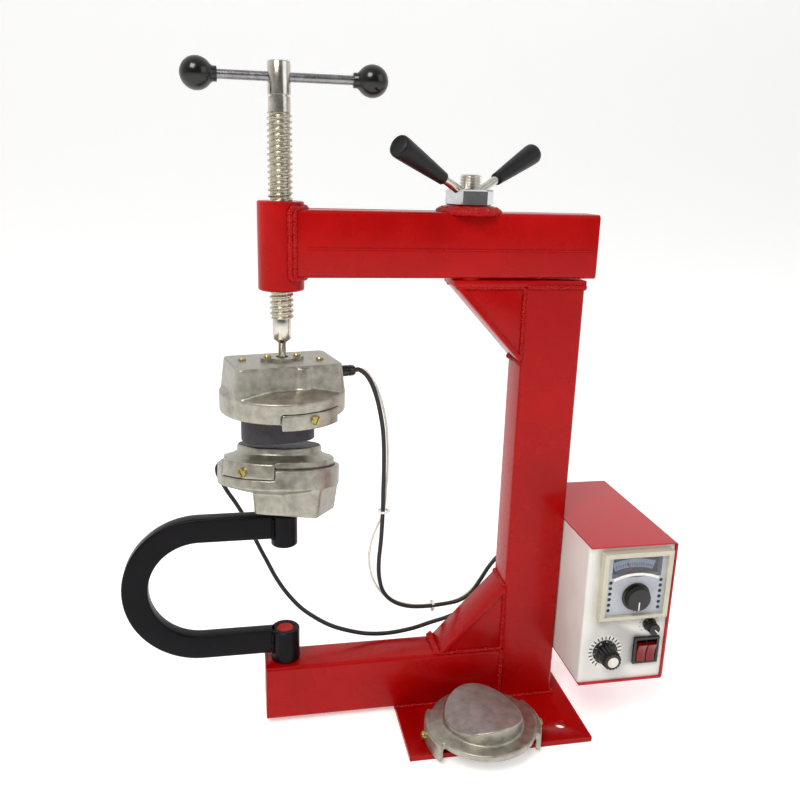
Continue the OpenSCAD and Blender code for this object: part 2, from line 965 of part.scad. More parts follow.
module upper_die() {
    color("dimgray")
        at_upper() {
            die_lugs(upper_post_d / 2 - 6, lug_h);
            translate([-upper_post_off, 0, 0])
                convex_post(upper_post_d, upper_post_h, upper_crest_r);
        }
}

module upper_die_screws() {
    color("goldenrod")
        at_upper()
            die_screws();
}

// A split plate over the ball, open for the screw's neck
module ball_keeper() {
    color("darkgray")
        at_upper()
            translate([0, 0, head_h])
                difference() {
                    union() {
                        cylinder(d = 26, h = keeper_t);
                        for (side = [-1, 1])
                            translate([side * 14, 0, 0])
                                cylinder(d = 13, h = keeper_t);
                    }
                    translate([0, 0, -overcut])
                        cylinder(r = ball_d / 2 - 1, h = keeper_t + 2 * overcut);
                    for (side = [-1, 1])
                        translate([side * 14, 0, -overcut])
                            cylinder(r = cover_shank_d / 2 + seated, h = keeper_t + 2 * overcut);
                }
}

module upper_cover_screws() {
    spots = cover_screw_spots();
    color("goldenrod")
        at_upper()
            for (i = [0:len(spots) - 1])
                translate([spots[i][0], spots[i][1], head_h])
                    cover_screw(i < 2 ? keeper_t : 0);
}

module upper_gland() {
    color("black")
        at_upper()
            gland(gland_x, 0);
}

module lower_cover() {
    color("darkgray")
        at_lower()
            head_cover(lower_block_l, -socket_off, lower_rib_x, lower_gland_x, lower_gland_turn);
}

module lower_heat_plate() {
    color("silver")
        at_lower()
            head_heat_plate();
}

module lower_heater() {
    color("goldenrod")
        at_lower()
            head_heater();
}

module lower_die() {
    slope_h = 4;
    color("darkgray")
        at_lower() {
            die_flange(lug_h);
            translate([0, 0, -flange_t])
                rotate_extrude()
                    polygon([[0, 1], [heat_r - 3, 1], [heat_r - 3, 0], [lower_post_d / 2 + 1, -slope_h],
                             [lower_post_d / 2, -slope_h], [lower_post_d / 2, 1 - lower_post_h],
                             [lower_post_d / 2 - 1, -lower_post_h], [0, -lower_post_h]]);
        }
}

module lower_die_screws() {
    color("goldenrod")
        at_lower()
            die_screws();
}

// Stud in the swing arm's upper boss; its ball sits in the casting's socket
module head_stud() {
    stud_len = 28;
    color("silver")
        translate([press_x, 0, 0]) {
            translate([0, 0, boss_up_top - stud_len])
                cylinder(d = head_stud_d, h = stud_len + free_gap);
            translate([0, 0, boss_up_top])
                cylinder(d = neck_d, h = lean_z - boss_up_top);
            translate([0, 0, lean_z])
                sphere(d = ball_d);
        }
}

module lower_gland() {
    color("black")
        at_lower()
            gland(lower_gland_x, lower_gland_turn);
}

module spare_die() {
    color("darkgray")
        at_spare() {
            die_flange(spare_lug_h);
            translate([0, 0, 1 - flange_t])
                convex_post(spare_post_d, spare_post_h + 1, spare_crest_r);
        }
}

// Only the stretch that the lug holds, since no heat plate is behind it
module spare_die_screws() {
    color("goldenrod")
        at_spare()
            lug_places()
                rotate([0, 90, 0])
                    translate([-die_screw_z, 0, 0]) {
                        translate([0, 0, bore_r - 3])
                            cylinder(d = die_screw_d, h = skirt_wall + 3);
                        translate([0, 0, skirt_r])
                            cylinder(d = die_screw_head_d, h = die_screw_head_l);
                    }
}

// Swing arm

// A flat bar bent to a half ring, with its ends cut to fit the two bosses
module swing_bar() {
    mid_z = (limb_low_z + limb_up_z) / 2;
    color("black")
        translate([press_x, 0, 0])
            difference() {
                union() {
                    for (z = [limb_low_z, limb_up_z])
                        translate([-limb_l, -limb_d / 2, z - limb_h / 2])
                            cube([limb_l, limb_d, limb_h]);
                    translate([-limb_l, 0, mid_z])
                        rotate([90, 0, 0])
                            rotate([0, 0, 90])
                                rotate_extrude(angle = 180, $fn = 96)
                                    translate([bend_r - limb_h / 2, -limb_d / 2])
                                        square([limb_h, limb_d]);
                }
                translate([0, 0, boss_low_z - overcut])
                    cylinder(r = boss_low_d / 2 + seated, h = boss_low_h + 2 * overcut);
                translate([0, 0, boss_up_top - boss_up_h - overcut])
                    cylinder(r = boss_up_d / 2 + seated, h = boss_up_h + 2 * overcut);
            }
}

module boss(d, bore, z, h) {
    translate([press_x, 0, z])
        difference() {
            cylinder(d = d, h = h);
            translate([0, 0, -overcut])
                cylinder(r = bore / 2 + running, h = h + 2 * overcut);
        }
}

module upper_boss() {
    color("black")
        boss(boss_up_d, head_stud_d, boss_up_top - boss_up_h, boss_up_h);
}

module lower_boss() {
    color("black")
        boss(boss_low_d, pin_d, boss_low_z, boss_low_h);
}

// Control box

// Front, left side and back folded from one sheet, with inner edges that the cover is screwed to
module box_chassis() {
    z1 = box_z + sheet_t;
    high = box_h - 2 * sheet_t;
    wide = box_w - sheet_t;
    color("ivory")
        difference() {
            union() {
                translate([box_x, panel_y, z1])
                    cube([sheet_t, box_d, high]);
                for (y = [panel_y, back_y - sheet_t])
                    translate([box_x, y, z1])
                        cube([wide, sheet_t, high]);
                for (z = [z1, z1 + high - sheet_t])
                    translate([box_x, panel_y, z])
                        cube([fold_w + sheet_t, box_d, sheet_t]);
            }
            for (z = box_bolt_zs)
                translate([box_x - overcut, 0, z])
                    rotate([0, 90, 0])
                        cylinder(r = box_bolt_d / 2 + seated, h = sheet_t + 2 * overcut);
            for (g = grommets)
                translate([box_x - overcut, g[0], g[1]])
                    rotate([0, 90, 0])
                        cylinder(r = g[2] / 2 + grommet_lip + seated, h = sheet_t + 2 * overcut);
            cover_screw_places()
                cylinder(r = cover_screw_d / 2 + seated, h = box_h, center = true);
            translate([temp_at[0] - case_w / 2 - seated, panel_y - overcut, temp_at[1] - case_w / 2 - seated])
                cube([case_w + 2 * seated, sheet_t + 2 * overcut, case_w + 2 * seated]);
            translate([switch_at[0] - switch_body() / 2, panel_y - overcut, switch_at[1] - switch_tall() / 2])
                cube([switch_body(), sheet_t + 2 * overcut, switch_tall()]);
            for (at = [timer_at, trim_at])
                on_panel(at, panel_y + sheet_t + overcut)
                    cylinder(r = shaft_d / 2 + free_gap, h = sheet_t + 2 * overcut);
            on_panel(mains_at, back_y + overcut)
                cylinder(r = mains_gland_d / 2 - 2 + seated, h = sheet_t + 2 * overcut);
        }
}

function switch_body() = switch_w - 3 + 2 * seated;
function switch_tall() = switch_h - 3 + 2 * seated;

module cover_screw_places() {
    for (y = cover_screw_ys)
        translate([cover_screw_x, y, box_z + box_h / 2])
            children();
}

// Top, right side and bottom folded from one sheet
module box_cover() {
    deep = box_d + lip;
    color("firebrick")
        difference() {
            union() {
                for (z = [box_z, box_top - sheet_t])
                    translate([box_x, panel_y - lip, z])
                        cube([box_w, deep, sheet_t]);
                translate([box_right - sheet_t, panel_y - lip, box_z])
                    cube([sheet_t, deep, box_h]);
            }
            cover_screw_places()
                cylinder(r = cover_screw_d / 2 + seated, h = box_h + 2 * overcut, center = true);
        }
}

module box_bolts() {
    color("silver")
        for (z = box_bolt_zs)
            translate([column_right - tube_wall - 6, 0, z])
                rotate([0, 90, 0]) {
                    cylinder(d = box_bolt_d, h = tube_wall + 6 + sheet_t);
                    translate([0, 0, tube_wall + 6 + sheet_t])
                        cylinder(d = 2 * box_bolt_d, h = 4, $fn = 6);
                }
}

module cover_screws() {
    color("silver")
        for (side = [-1, 1])
            cover_screw_places()
                translate([0, 0, side * box_h / 2])
                    rotate([90 - 90 * side, 0, 0]) {
                        translate([0, 0, -6])
                            cylinder(d = cover_screw_d, h = 6);
                        cylinder(d = 2 * cover_screw_d, h = 2);
                    }
}

// Bezel in front of the panel and case behind it; the dial lies a little behind the bezel's rim
module controller_case() {
    rim = 3;
    color("lightgray")
        difference() {
            union() {
                translate([temp_at[0] - bezel_w / 2, panel_y - bezel_t, temp_at[1] - bezel_w / 2])
                    cube([bezel_w, bezel_t, bezel_w]);
                translate([temp_at[0] - case_w / 2, panel_y, temp_at[1] - case_w / 2])
                    cube([case_w, case_l, case_w]);
            }
            translate([temp_at[0] - bezel_w / 2 + rim, panel_y - bezel_t - overcut, temp_at[1] - bezel_w / 2 + rim])
                cube([bezel_w - 2 * rim, dial_depth + overcut, bezel_w - 2 * rim]);
            translate([temp_at[0] - window_w / 2, panel_y - bezel_t, window_z - window_h / 2])
                cube([window_w, 14, window_h]);
            translate([temp_at[0] - 4, panel_y - bezel_t, needle_z - 4])
                cube([8, 14, 8]);
            translate([temp_at[0], needle_y, needle_z])
                rotate([-90, 0, 0])
                    cylinder(r = arbor_d / 2 + running, h = arbor_l + free_gap);
            on_panel(temp_knob_at, panel_y + 10)
                cylinder(r = shaft_d / 2 + running, h = bezel_t + 10 + overcut);
        }
}

module controller_window() {
    color([0.8, 0.9, 1, 0.4])
        translate([temp_at[0] - window_w / 2 + seated, panel_y - bezel_t + dial_depth, window_z - window_h / 2 + seated])
            cube([window_w - 2 * seated, window_t, window_h - 2 * seated]);
}

module scale_plate() {
    color("lightsteelblue")
        translate([temp_at[0] - window_w / 2 + seated, panel_y - bezel_t + 13, window_z - window_h / 2 + seated])
            cube([window_w - 2 * seated, 1, window_h - 2 * seated]);
}

// Pointer behind the window, on an arbor under its lower edge; cold, it leans to the left
module needle() {
    hub_t = 2;
    color("red")
        translate([temp_at[0], needle_y, needle_z])
            rotate([0, -needle_lean, 0]) {
                rotate([90, 0, 0])
                    cylinder(d = 5, h = hub_t, center = true);
                translate([-needle_w / 2, -needle_w / 2, 0])
                    cube([needle_w, needle_w, needle_l]);
                rotate([-90, 0, 0])
                    cylinder(d = arbor_d, h = arbor_l);
            }
}

// A knob with a shaft that reaches through the panel
module panel_knob(d1, d2, l, shaft_in) {
    cylinder(d1 = d1, d2 = d2, h = l);
    translate([0, 0, -shaft_in])
        cylinder(d = shaft_d, h = shaft_in);
}

module temp_knob() {
    color("black")
        on_panel(temp_knob_at, panel_y - bezel_t + dial_depth - free_gap)
            panel_knob(temp_knob_d, temp_knob_d - 3, temp_knob_l, 12);
}

module timer() {
    color("dimgray")
        difference() {
            translate([timer_at[0] - timer_case_w / 2, panel_y + sheet_t, timer_at[1] - timer_case_w / 2])
                cube([timer_case_w, timer_case_l, timer_case_w]);
            on_panel(timer_at, panel_y + sheet_t + 10)
                cylinder(r = shaft_d / 2 + running, h = 10 + overcut);
        }
}

module timer_knob() {
    skirt = 4;
    color("black")
        on_panel(timer_at, panel_y - free_gap) {
            panel_knob(timer_knob_d, timer_knob_d, skirt, 10);
            translate([0, 0, skirt])
                cylinder(d1 = timer_knob_d - 4, d2 = timer_knob_d - 8, h = timer_knob_l - skirt);
        }
}

module trim_pot() {
    color("dimgray")
        difference() {
            on_panel(trim_at, panel_y + sheet_t + pot_l)
                cylinder(d = pot_d, h = pot_l);
            on_panel(trim_at, panel_y + sheet_t + 8)
                cylinder(r = shaft_d / 2 + running, h = 8 + overcut);
        }
}

module trim_knob() {
    color("black")
        on_panel(trim_at, panel_y - free_gap)
            panel_knob(trim_knob_d, trim_knob_d - 2, trim_knob_l, 8);
}

module switch_case() {
    color("black")
        difference() {
            union() {
                translate([switch_at[0] - switch_w / 2, panel_y - switch_proud, switch_at[1] - switch_h / 2])
                    cube([switch_w, switch_proud, switch_h]);
                translate([switch_at[0] - switch_w / 2 + 1.5, panel_y, switch_at[1] - switch_h / 2 + 1.5])
                    cube([switch_w - 3, switch_depth, switch_h - 3]);
            }
            translate([switch_at[0] - switch_w / 2 + switch_rim, panel_y - switch_proud - overcut,
                       switch_at[1] - switch_h / 2 + switch_rim])
                cube([switch_w - 2 * switch_rim, 14 + switch_proud, switch_h - 2 * switch_rim]);
            translate([switch_at[0], panel_y + rocker_t, switch_at[1]])
                rotate([0, 90, 0])
                    cylinder(r = rocker_pin_d / 2 + running, h = switch_w, center = true);
        }
}

// A rocker turns on a pin in the case and stands off, its lower half in; side is -1 on the left
module rocker(side) {
    pivot_y = panel_y + rocker_t;
    front = switch_proud + 2.5;
    mid_x = switch_at[0] + side * (rocker_w + rocker_gap) / 2;
    translate([mid_x, pivot_y, switch_at[1]])
        rotate([rocker_tilt, 0, 0]) {
            rotate([90, 0, 90])
                linear_extrude(height = rocker_w, center = true)
                    polygon([[-rocker_t - front, -rocker_h / 2], [-rocker_t - front + 2, 0],
                             [-rocker_t - front, rocker_h / 2], [0, rocker_h / 2 - 3], [2, 0], [0, 3 - rocker_h / 2]]);
            translate([side * (rocker_w / 2 + 0.7), 0, 0])
                rotate([0, 90, 0])
                    cylinder(d = rocker_pin_d, h = 2.4, center = true);
        }
}

module rocker_left() {
    color("red")
        rocker(-1);
}

module rocker_right() {
    color("red")
        rocker(1);
}

module terminal_block() {
    ways = 5;
    way_w = 10;
    color("ivory")
        translate([inner_x, 14, box_z + 20])
            difference() {
                cube([16, ways * way_w, 20]);
                for (i = [0:ways - 1])
                    translate([8, (i + 0.5) * way_w, 14])
                        cylinder(d = 5, h = 10);
            }
}

// A rubber ring with a lip on each side of the sheet
module lead_grommets() {
    color("black")
        for (g = grommets)
            translate([box_x, g[0], g[1]])
                rotate([0, 90, 0])
                    difference() {
                        union() {
                            translate([0, 0, -2])
                                cylinder(r = g[2] / 2 + 2 * grommet_lip, h = 2);
                            cylinder(r = g[2] / 2 + grommet_lip, h = sheet_t);
                            translate([0, 0, sheet_t])
                                cylinder(r = g[2] / 2 + 2 * grommet_lip, h = 2);
                        }
                        translate([0, 0, -2 - overcut])
                            cylinder(r = g[2] / 2 + seated, h = sheet_t + 4 + 2 * overcut);
                    }
}

module mains_gland() {
    bore_d = 7;
    color("black")
        on_panel(mains_at, back_y - sheet_t)
            difference() {
                union() {
                    translate([0, 0, -sheet_t])
                        cylinder(d = mains_gland_d - 4, h = 8);
                    translate([0, 0, -sheet_t - mains_gland_l])
                        cylinder(d = mains_gland_d, h = mains_gland_l);
                }
                translate([0, 0, -sheet_t - mains_gland_l - overcut])
                    cylinder(d = bore_d, h = mains_gland_l + 8 + 2 * overcut);
            }
}

// Leads

function unit(v) = v / norm(v);
function along(p, i) = unit(p[min(i + 1, len(p) - 1)] - p[max(i - 1, 0)]);

// A round tube swept through a route's points, one ring at each
module lead(route, d) {
    sides = 8;
    count = len(route);
    rings = [
        for (i = [0:count - 1])
            let (t = along(route, i), u = unit(cross(t, [0, 1, 0])), v = cross(t, u))
                for (k = [0:sides - 1])
                    route[i] + d / 2 * (cos(360 * k / sides) * u + sin(360 * k / sides) * v)
    ];
    walls = [
        for (i = [0:count - 2], k = [0:sides - 1])
            let (a = i * sides + k, b = i * sides + (k + 1) % sides)
                each [[a, a + sides, b], [b, a + sides, b + sides]]
    ];
    ends = [
        for (k = [1:sides - 2])
            each [[0, k, k + 1],
                  [(count - 1) * sides, (count - 1) * sides + k + 1, (count - 1) * sides + k]]
    ];
    polyhedron(points = rings, faces = concat(walls, ends));
}

module upper_lead() {
    color("black")
        lead(upper_route, lead_d);
}

module sensor_lead() {
    color("white")
        lead(sensor_route, sensor_d);
}

module lower_lead() {
    color("black")
        lead(lower_route, lead_d);
}

base_plate();
lower_arm();
column();
lower_gusset();
upper_gusset();
top_plate();
pivot_stud();
swing_pin();
upper_arm();
screw_sleeve();
pivot_bush();
clamp_nut();
lever_rods();
lever_grips();
press_screw();
handle_bar();
bar_knobs();
upper_cover();
upper_heat_plate();
upper_heater();
upper_die();
upper_die_screws();
ball_keeper();
upper_cover_screws();
upper_gland();
swing_bar();
upper_boss();
lower_boss();
lower_cover();
lower_heat_plate();
lower_heater();
lower_die();
lower_die_screws();
head_stud();
lower_gland();
spare_die();
spare_die_screws();
box_chassis();
box_cover();
box_bolts();
cover_screws();
controller_case();
controller_window();
scale_plate();
needle();
temp_knob();
timer();
timer_knob();
trim_pot();
trim_knob();
switch_case();
rocker_left();
rocker_right();
terminal_block();
lead_grommets();
mains_gland();
upper_lead();
sensor_lead();
lower_lead();
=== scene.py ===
import math

import bmesh
import bpy
from mathutils import Matrix, Vector


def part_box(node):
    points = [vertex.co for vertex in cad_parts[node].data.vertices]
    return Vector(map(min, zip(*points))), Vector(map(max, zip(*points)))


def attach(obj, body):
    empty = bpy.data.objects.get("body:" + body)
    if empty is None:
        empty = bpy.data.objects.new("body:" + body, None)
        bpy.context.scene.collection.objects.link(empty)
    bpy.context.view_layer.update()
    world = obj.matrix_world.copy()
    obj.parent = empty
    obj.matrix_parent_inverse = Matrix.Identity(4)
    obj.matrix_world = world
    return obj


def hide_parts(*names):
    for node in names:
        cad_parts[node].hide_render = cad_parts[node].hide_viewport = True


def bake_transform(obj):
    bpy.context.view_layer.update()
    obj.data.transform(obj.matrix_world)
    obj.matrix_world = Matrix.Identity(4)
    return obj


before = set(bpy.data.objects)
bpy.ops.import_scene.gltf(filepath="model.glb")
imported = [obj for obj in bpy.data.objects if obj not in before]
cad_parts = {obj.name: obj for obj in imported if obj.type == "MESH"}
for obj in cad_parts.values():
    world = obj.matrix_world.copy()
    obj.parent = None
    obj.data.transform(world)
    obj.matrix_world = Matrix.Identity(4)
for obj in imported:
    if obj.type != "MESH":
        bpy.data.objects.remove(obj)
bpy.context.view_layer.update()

# Stage and camera. The machine stands on a pale studio floor under soft light from above and in front,
# seen a little from the left and from above, as the photograph sees it.
EYE = (-0.2487, -0.7572, 0.5572)
YAW, PITCH, ROLL = 11.45, 15.65, 1.63
FOCAL_PX, FRAME_PX, SENSOR = 820.7, 800, 36.0


def shown(name, data):
    """A new object of some data, linked into the scene."""
    made = bpy.data.objects.new(name, data)
    bpy.context.scene.collection.objects.link(made)
    return made


yaw, pitch, roll = math.radians(YAW), math.radians(PITCH), math.radians(ROLL)
ahead = Vector((math.sin(yaw) * math.cos(pitch), math.cos(yaw) * math.cos(pitch), -math.sin(pitch)))
level = Vector((math.cos(yaw), -math.sin(yaw), 0))
over = level.cross(ahead)
right = math.cos(roll) * level + math.sin(roll) * over
up = math.cos(roll) * over - math.sin(roll) * level
camera_data = bpy.data.cameras.new("photo_camera")
camera_data.sensor_width = SENSOR
camera_data.lens = FOCAL_PX / FRAME_PX * SENSOR
camera_data.clip_start, camera_data.clip_end = 0.01, 50
camera = shown("photo_camera", camera_data)
camera.matrix_world = Matrix.Translation(EYE) @ Matrix((right, up, -ahead)).transposed().to_4x4()
bpy.context.scene.camera = camera


def srgb(code):
    """A hex colour as linear red, green, blue and alpha."""
    parts = [int(code[i:i + 2], 16) / 255 for i in (1, 3, 5)]
    return tuple(c / 12.92 if c <= 0.04045 else ((c + 0.055) / 1.055) ** 2.4 for c in parts) + (1.0,)


def add(tree, kind, settings=None, inputs=None):
    """A new node with its settings; an input that is a socket is linked and any other is a value."""
    made = tree.nodes.new(kind)
    for key, value in (settings or {}).items():
        setattr(made, key, value)
    for key, value in (inputs or {}).items():
        if isinstance(value, bpy.types.NodeSocket):
            tree.links.new(value, made.inputs[key])
        else:
            made.inputs[key].default_value = value
    return made


def lamp(name, place, aim, size, power, colour):
    """A square soft light that points from its place at its aim."""
    data = bpy.data.lights.new(name, "AREA")
    data.size, data.energy, data.color = size, power, srgb(colour)[:3]
    light = shown(name, data)
    light.location = place
    light.rotation_euler = (Vector(aim) - Vector(place)).to_track_quat("-Z", "Y").to_euler()


def material(name, **values):
    """A new material whose shader has these constant values."""
    made = bpy.data.materials.new(name)
    made.use_nodes = True
    shader = made.node_tree.nodes["Principled BSDF"]
    for key, value in values.items():
        shader.inputs[key.replace("_", " ")].default_value = value
    return made


# The room is dimmer on the operator's side, which gives bright metal its dark edges
world = bpy.data.worlds.new("studio")
bpy.context.scene.world = world
world.use_nodes = True
sky = world.node_tree
way = add(sky, "ShaderNodeSeparateXYZ", None,
          {"Vector": add(sky, "ShaderNodeTexCoord").outputs["Generated"]})
shade = add(sky, "ShaderNodeMapRange", None,
            {"Value": way.outputs["Y"], "From Min": -0.9, "From Max": 0.5, "To Min": 0.15, "To Max": 1.0})
sky.links.new(shade.outputs["Result"], sky.nodes["Background"].inputs["Strength"])
sky.nodes["Background"].inputs["Color"].default_value = srgb("#FFFFFF")
lamp("key_light", (-0.9, -1.3, 1.9), (-0.1, 0, 0.3), 0.9, 32, "#FFFAF2")
lamp("fill_light", (1.3, -1.0, 1.2), (0, 0, 0.3), 1.2, 6, "#F4F8FF")

FLOOR_NEAR, FLOOR_FAR, FLOOR_BEND, FLOOR_TOP, FLOOR_HALF = -6, 2.5, 2, 6, 7
sweep = [(FLOOR_NEAR, 0), (FLOOR_FAR, 0)]
for a in range(6, 91, 6):
    sweep.append((FLOOR_FAR + FLOOR_BEND * math.sin(math.radians(a)),
                  FLOOR_BEND - FLOOR_BEND * math.cos(math.radians(a))))
sweep.append((FLOOR_FAR + FLOOR_BEND, FLOOR_TOP))
floor_mesh = bpy.data.meshes.new("studio_floor")
floor_mesh.from_pydata([(x, y, z) for y, z in sweep for x in (-FLOOR_HALF, FLOOR_HALF)], [],
                       [(2 * k, 2 * k + 1, 2 * k + 3, 2 * k + 2) for k in range(len(sweep) - 1)])
floor_mesh.polygons.foreach_set("use_smooth", [True] * len(floor_mesh.polygons))
floor_mesh.materials.append(material("pale_studio_floor", Base_Color=srgb("#F4F4F3"), Roughness=0.9,
                                     Emission_Color=srgb("#FFFFFF"), Emission_Strength=0.42))
floor = shown("studio_floor", floor_mesh)
bpy.context.scene.view_settings.view_transform = "Standard"
bpy.context.scene.view_settings.look = "None"

# Leads. Rubber-sheathed heater leads run from the glands of the heads down behind the press to the box, and
# a thin white sensor lead goes with the upper one. Their points repeat the solids' routes, in millimetres.
MM = 0.001


def speckle(name, dark, light, patch_mm, rough, grain_mm, depth_mm, **values):
    """A material in soft patches between two hex colours, unevenly rough, with a fine bump of real grain."""
    made = material(name, **values)
    tree = made.node_tree
    shader = tree.nodes["Principled BSDF"]
    place = add(tree, "ShaderNodeTexCoord").outputs["Object"]
    patches = add(tree, "ShaderNodeTexNoise", None,
                  {"Vector": place, "Scale": 1 / (patch_mm * MM), "Detail": 4.0, "Roughness": 0.6})
    ramp = add(tree, "ShaderNodeValToRGB", None, {"Fac": patches.outputs["Fac"]})
    for stop, colour, position in zip(ramp.color_ramp.elements, (dark, light), (0.3, 0.7)):
        stop.color, stop.position = srgb(colour), position
    tree.links.new(ramp.outputs["Color"], shader.inputs["Base Color"])
    uneven = add(tree, "ShaderNodeMapRange", None,
                 {"Value": patches.outputs["Fac"], "From Min": 0.25, "From Max": 0.75,
                  "To Min": rough[0], "To Max": rough[1]})
    tree.links.new(uneven.outputs["Result"], shader.inputs["Roughness"])
    grain = add(tree, "ShaderNodeTexNoise", None,
                {"Vector": place, "Scale": 1 / (grain_mm * MM), "Detail": 3.0})
    bump = add(tree, "ShaderNodeBump", None,
               {"Height": grain.outputs["Fac"], "Strength": 1.0, "Distance": depth_mm * MM})
    tree.links.new(bump.outputs["Normal"], shader.inputs["Normal"])
    return made


# Extruded rubber: near black with a dull, slightly dusty sheen
lead_rubber = speckle("extruded_black_rubber", "#0C0C0D", "#1A191A", 14, (0.42, 0.6), 0.8, 0.03, IOR=1.52)
# Woven glass sleeve: off-white, matt, with a fine weave that is drawn coarse enough to show
sensor_sleeve = speckle("woven_white_sleeve", "#D8D4C8", "#F2EFE6", 6, (0.6, 0.8), 0.7, 0.08, IOR=1.5)


def through(points, per_step):
    """Points on a smooth curve through the given ones, in metres."""
    spots = [Vector(p) * MM for p in points]
    ends = [2 * spots[0] - spots[1], *spots, 2 * spots[-1] - spots[-2]]
    curve = []
    for a, b, c, d in zip(ends, ends[1:], ends[2:], ends[3:]):
        for i in range(per_step):
            t = i / per_step
            curve.append(0.5 * (2 * b + (c - a) * t + (2 * a - 5 * b + 4 * c - d) * t * t
                                + (3 * b - a - 3 * c + d) * t ** 3))
    return [*curve, spots[-1]]


def skin(bm, rings, closed_start=True):
    """Joins closed rings of points by four-sided faces and caps the ends."""
    for low, high in zip(rings, rings[1:]):
        for k in range(len(low)):
            n = (k + 1) % len(low)
            bm.faces.new((low[k], low[n], high[n], high[k]))
    if closed_start:
        bm.faces.new(reversed(rings[0]))
    bm.faces.new(rings[-1])


def tube(bm, path, radius, sides=12):
    """A closed round tube along a path; the frame is carried along so that it doesn't twist."""
    rings = []
    side = None
    for i, spot in enumerate(path):
        along = (path[min(i + 1, len(path) - 1)] - path[max(i - 1, 0)]).normalized()
        if side is None:
            side = along.orthogonal().normalized()
        side = (side - along * side.dot(along)).normalized()
        other = along.cross(side)
        rings.append([bm.verts.new(spot + radius * (math.cos(a) * side + math.sin(a) * other))
                      for a in (math.tau * k / sides for k in range(sides))])
    skin(bm, rings)


def solid(name, bm, finish, sharp=35):
    """Makes an object of a mesh under construction, smooth but for edges sharper than an angle."""
    mesh = bpy.data.meshes.new(name)
    bmesh.ops.recalc_face_normals(bm, faces=bm.faces)
    bm.to_mesh(mesh)
    bm.free()
    mesh.polygons.foreach_set("use_smooth", [True] * len(mesh.polygons))
    mesh.set_sharp_from_angle(angle=math.radians(sharp))
    mesh.materials.append(finish)
    return shown(name, mesh)


LEAD_STEPS = 6


def lead(name, node, points, first, last, bodies, start, end, diameter, finish, slot):
    """One stretch of a lead, from one route point to another."""
    path = through(points, LEAD_STEPS)[first * LEAD_STEPS:last * LEAD_STEPS + 1]
    bm = bmesh.new()
    tube(bm, path, diameter / 2 * MM)
    made = solid(name, bm, finish, 60)
    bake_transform(made)
    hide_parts(node)


# The screw's axis, the turns of the heads, and where each gland sits on its head
PRESS_X = -209
UPPER_TURN, LOWER_TURN, LOWER_LEAN, LEAN_TURN = (math.radians(a) for a in (12, 157, 12.5, 77))
GLAND_L, UPPER_GLAND, LOWER_GLAND, GLAND_Z = 18, 54, 36, 31.5
SOCKET_OFF, LEAN_Z, LOWER_FACE = 6, 240.9, 278.4
LEAD_D, SENSOR_D, SENSOR_SIDE, UPPER_STUB, LOWER_STUB = 4.5, 2.4, 4.3, 5, 10


def spun(angle):
    """A turn about the upright axis."""
    return Matrix.Rotation(angle, 3, "Z")


upper_dir = spun(UPPER_TURN) @ Vector((1, 0, 0))
lean = spun(LEAN_TURN) @ Matrix.Rotation(LOWER_LEAN, 3, "Y") @ spun(-LEAN_TURN)
lower_dir = lean @ spun(LOWER_TURN - math.pi / 2) @ Vector((1, 0, 0))
upper_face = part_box("upper_cover")[0].z / MM
upper_exit = Vector((PRESS_X, 0, upper_face + GLAND_Z)) + (UPPER_GLAND + GLAND_L) * upper_dir
sensor_exit = upper_exit + SENSOR_SIDE * Vector((-upper_dir.y, upper_dir.x, 0))
lower_exit = Vector((PRESS_X, 0, LEAN_Z)) + (LOWER_GLAND + GLAND_L) * lower_dir
lower_exit += lean @ spun(LOWER_TURN) @ Vector((SOCKET_OFF, 0, LOWER_FACE - GLAND_Z - LEAN_Z))
upper_route = [
    upper_exit, upper_exit + UPPER_STUB * upper_dir, (-126, 18, 362), (-120, 19, 352), (-114.5, 20.5, 337),
    (-110.5, 22.5, 321), (-107, 25, 302), (-105, 28, 280), (-104, 31, 254), (-104, 32, 230), (-104, 32, 210),
    (-105, 32, 180), (-107, 32, 152), (-106, 32, 132), (-101, 32, 115), (-90, 32, 103), (-74, 32, 96),
    (-55, 32, 94), (-35, 32, 95), (-16, 32, 98), (-2, 32, 107), (8, 32, 122), (18, 33, 138), (31, 37, 149),
    (48, 45, 151), (64, 50, 150), (77, 50, 150), (91, 50, 150)]
sensor_route = [
    sensor_exit, sensor_exit + UPPER_STUB * upper_dir, (-126, 24, 365), (-117, 25, 353), (-110, 27, 337),
    (-105.5, 29, 321), (-102, 31, 302), (-100, 34, 280), (-99, 37, 254), (-100, 38, 231), (-102, 38, 208),
    (-113, 37, 180), (-117, 37, 155), (-113, 37, 131), (-101, 38, 110), (-85, 39, 99), (-66, 39, 93),
    (-45, 39, 92), (-22, 39, 94), (-4, 39, 103), (9, 40, 119), (20, 42, 134), (34, 48, 145), (50, 58, 150),
    (64, 63, 150), (77, 64, 150), (91, 64, 150)]
lower_route = [
    lower_exit, lower_exit + LOWER_STUB * lower_dir, (-190, 80, 231), (-200, 92, 237), (-222, 95, 246),
    (-246, 88, 255), (-264, 79, 258), (-273, 73, 254), (-274, 72, 246), (-270, 74, 235), (-264, 74, 223),
    (-257, 73, 212), (-249, 71, 198), (-241, 66, 182), (-233, 60, 165), (-225, 54, 150), (-216, 48, 133),
    (-205, 42, 117), (-191, 36, 102), (-176, 30, 92), (-160, 25, 84), (-142, 22, 78), (-120, 22, 72),
    (-96, 23, 70), (-70, 25, 72), (-48, 28, 76), (-26, 28, 82), (-4, 29, 91), (18, 33, 102), (38, 42, 112),
    (58, 49, 117), (77, 50, 118), (91, 50, 118)]
UPPER_SPLIT, ROOT_END, LOWER_SPLIT = 8, 4, 15
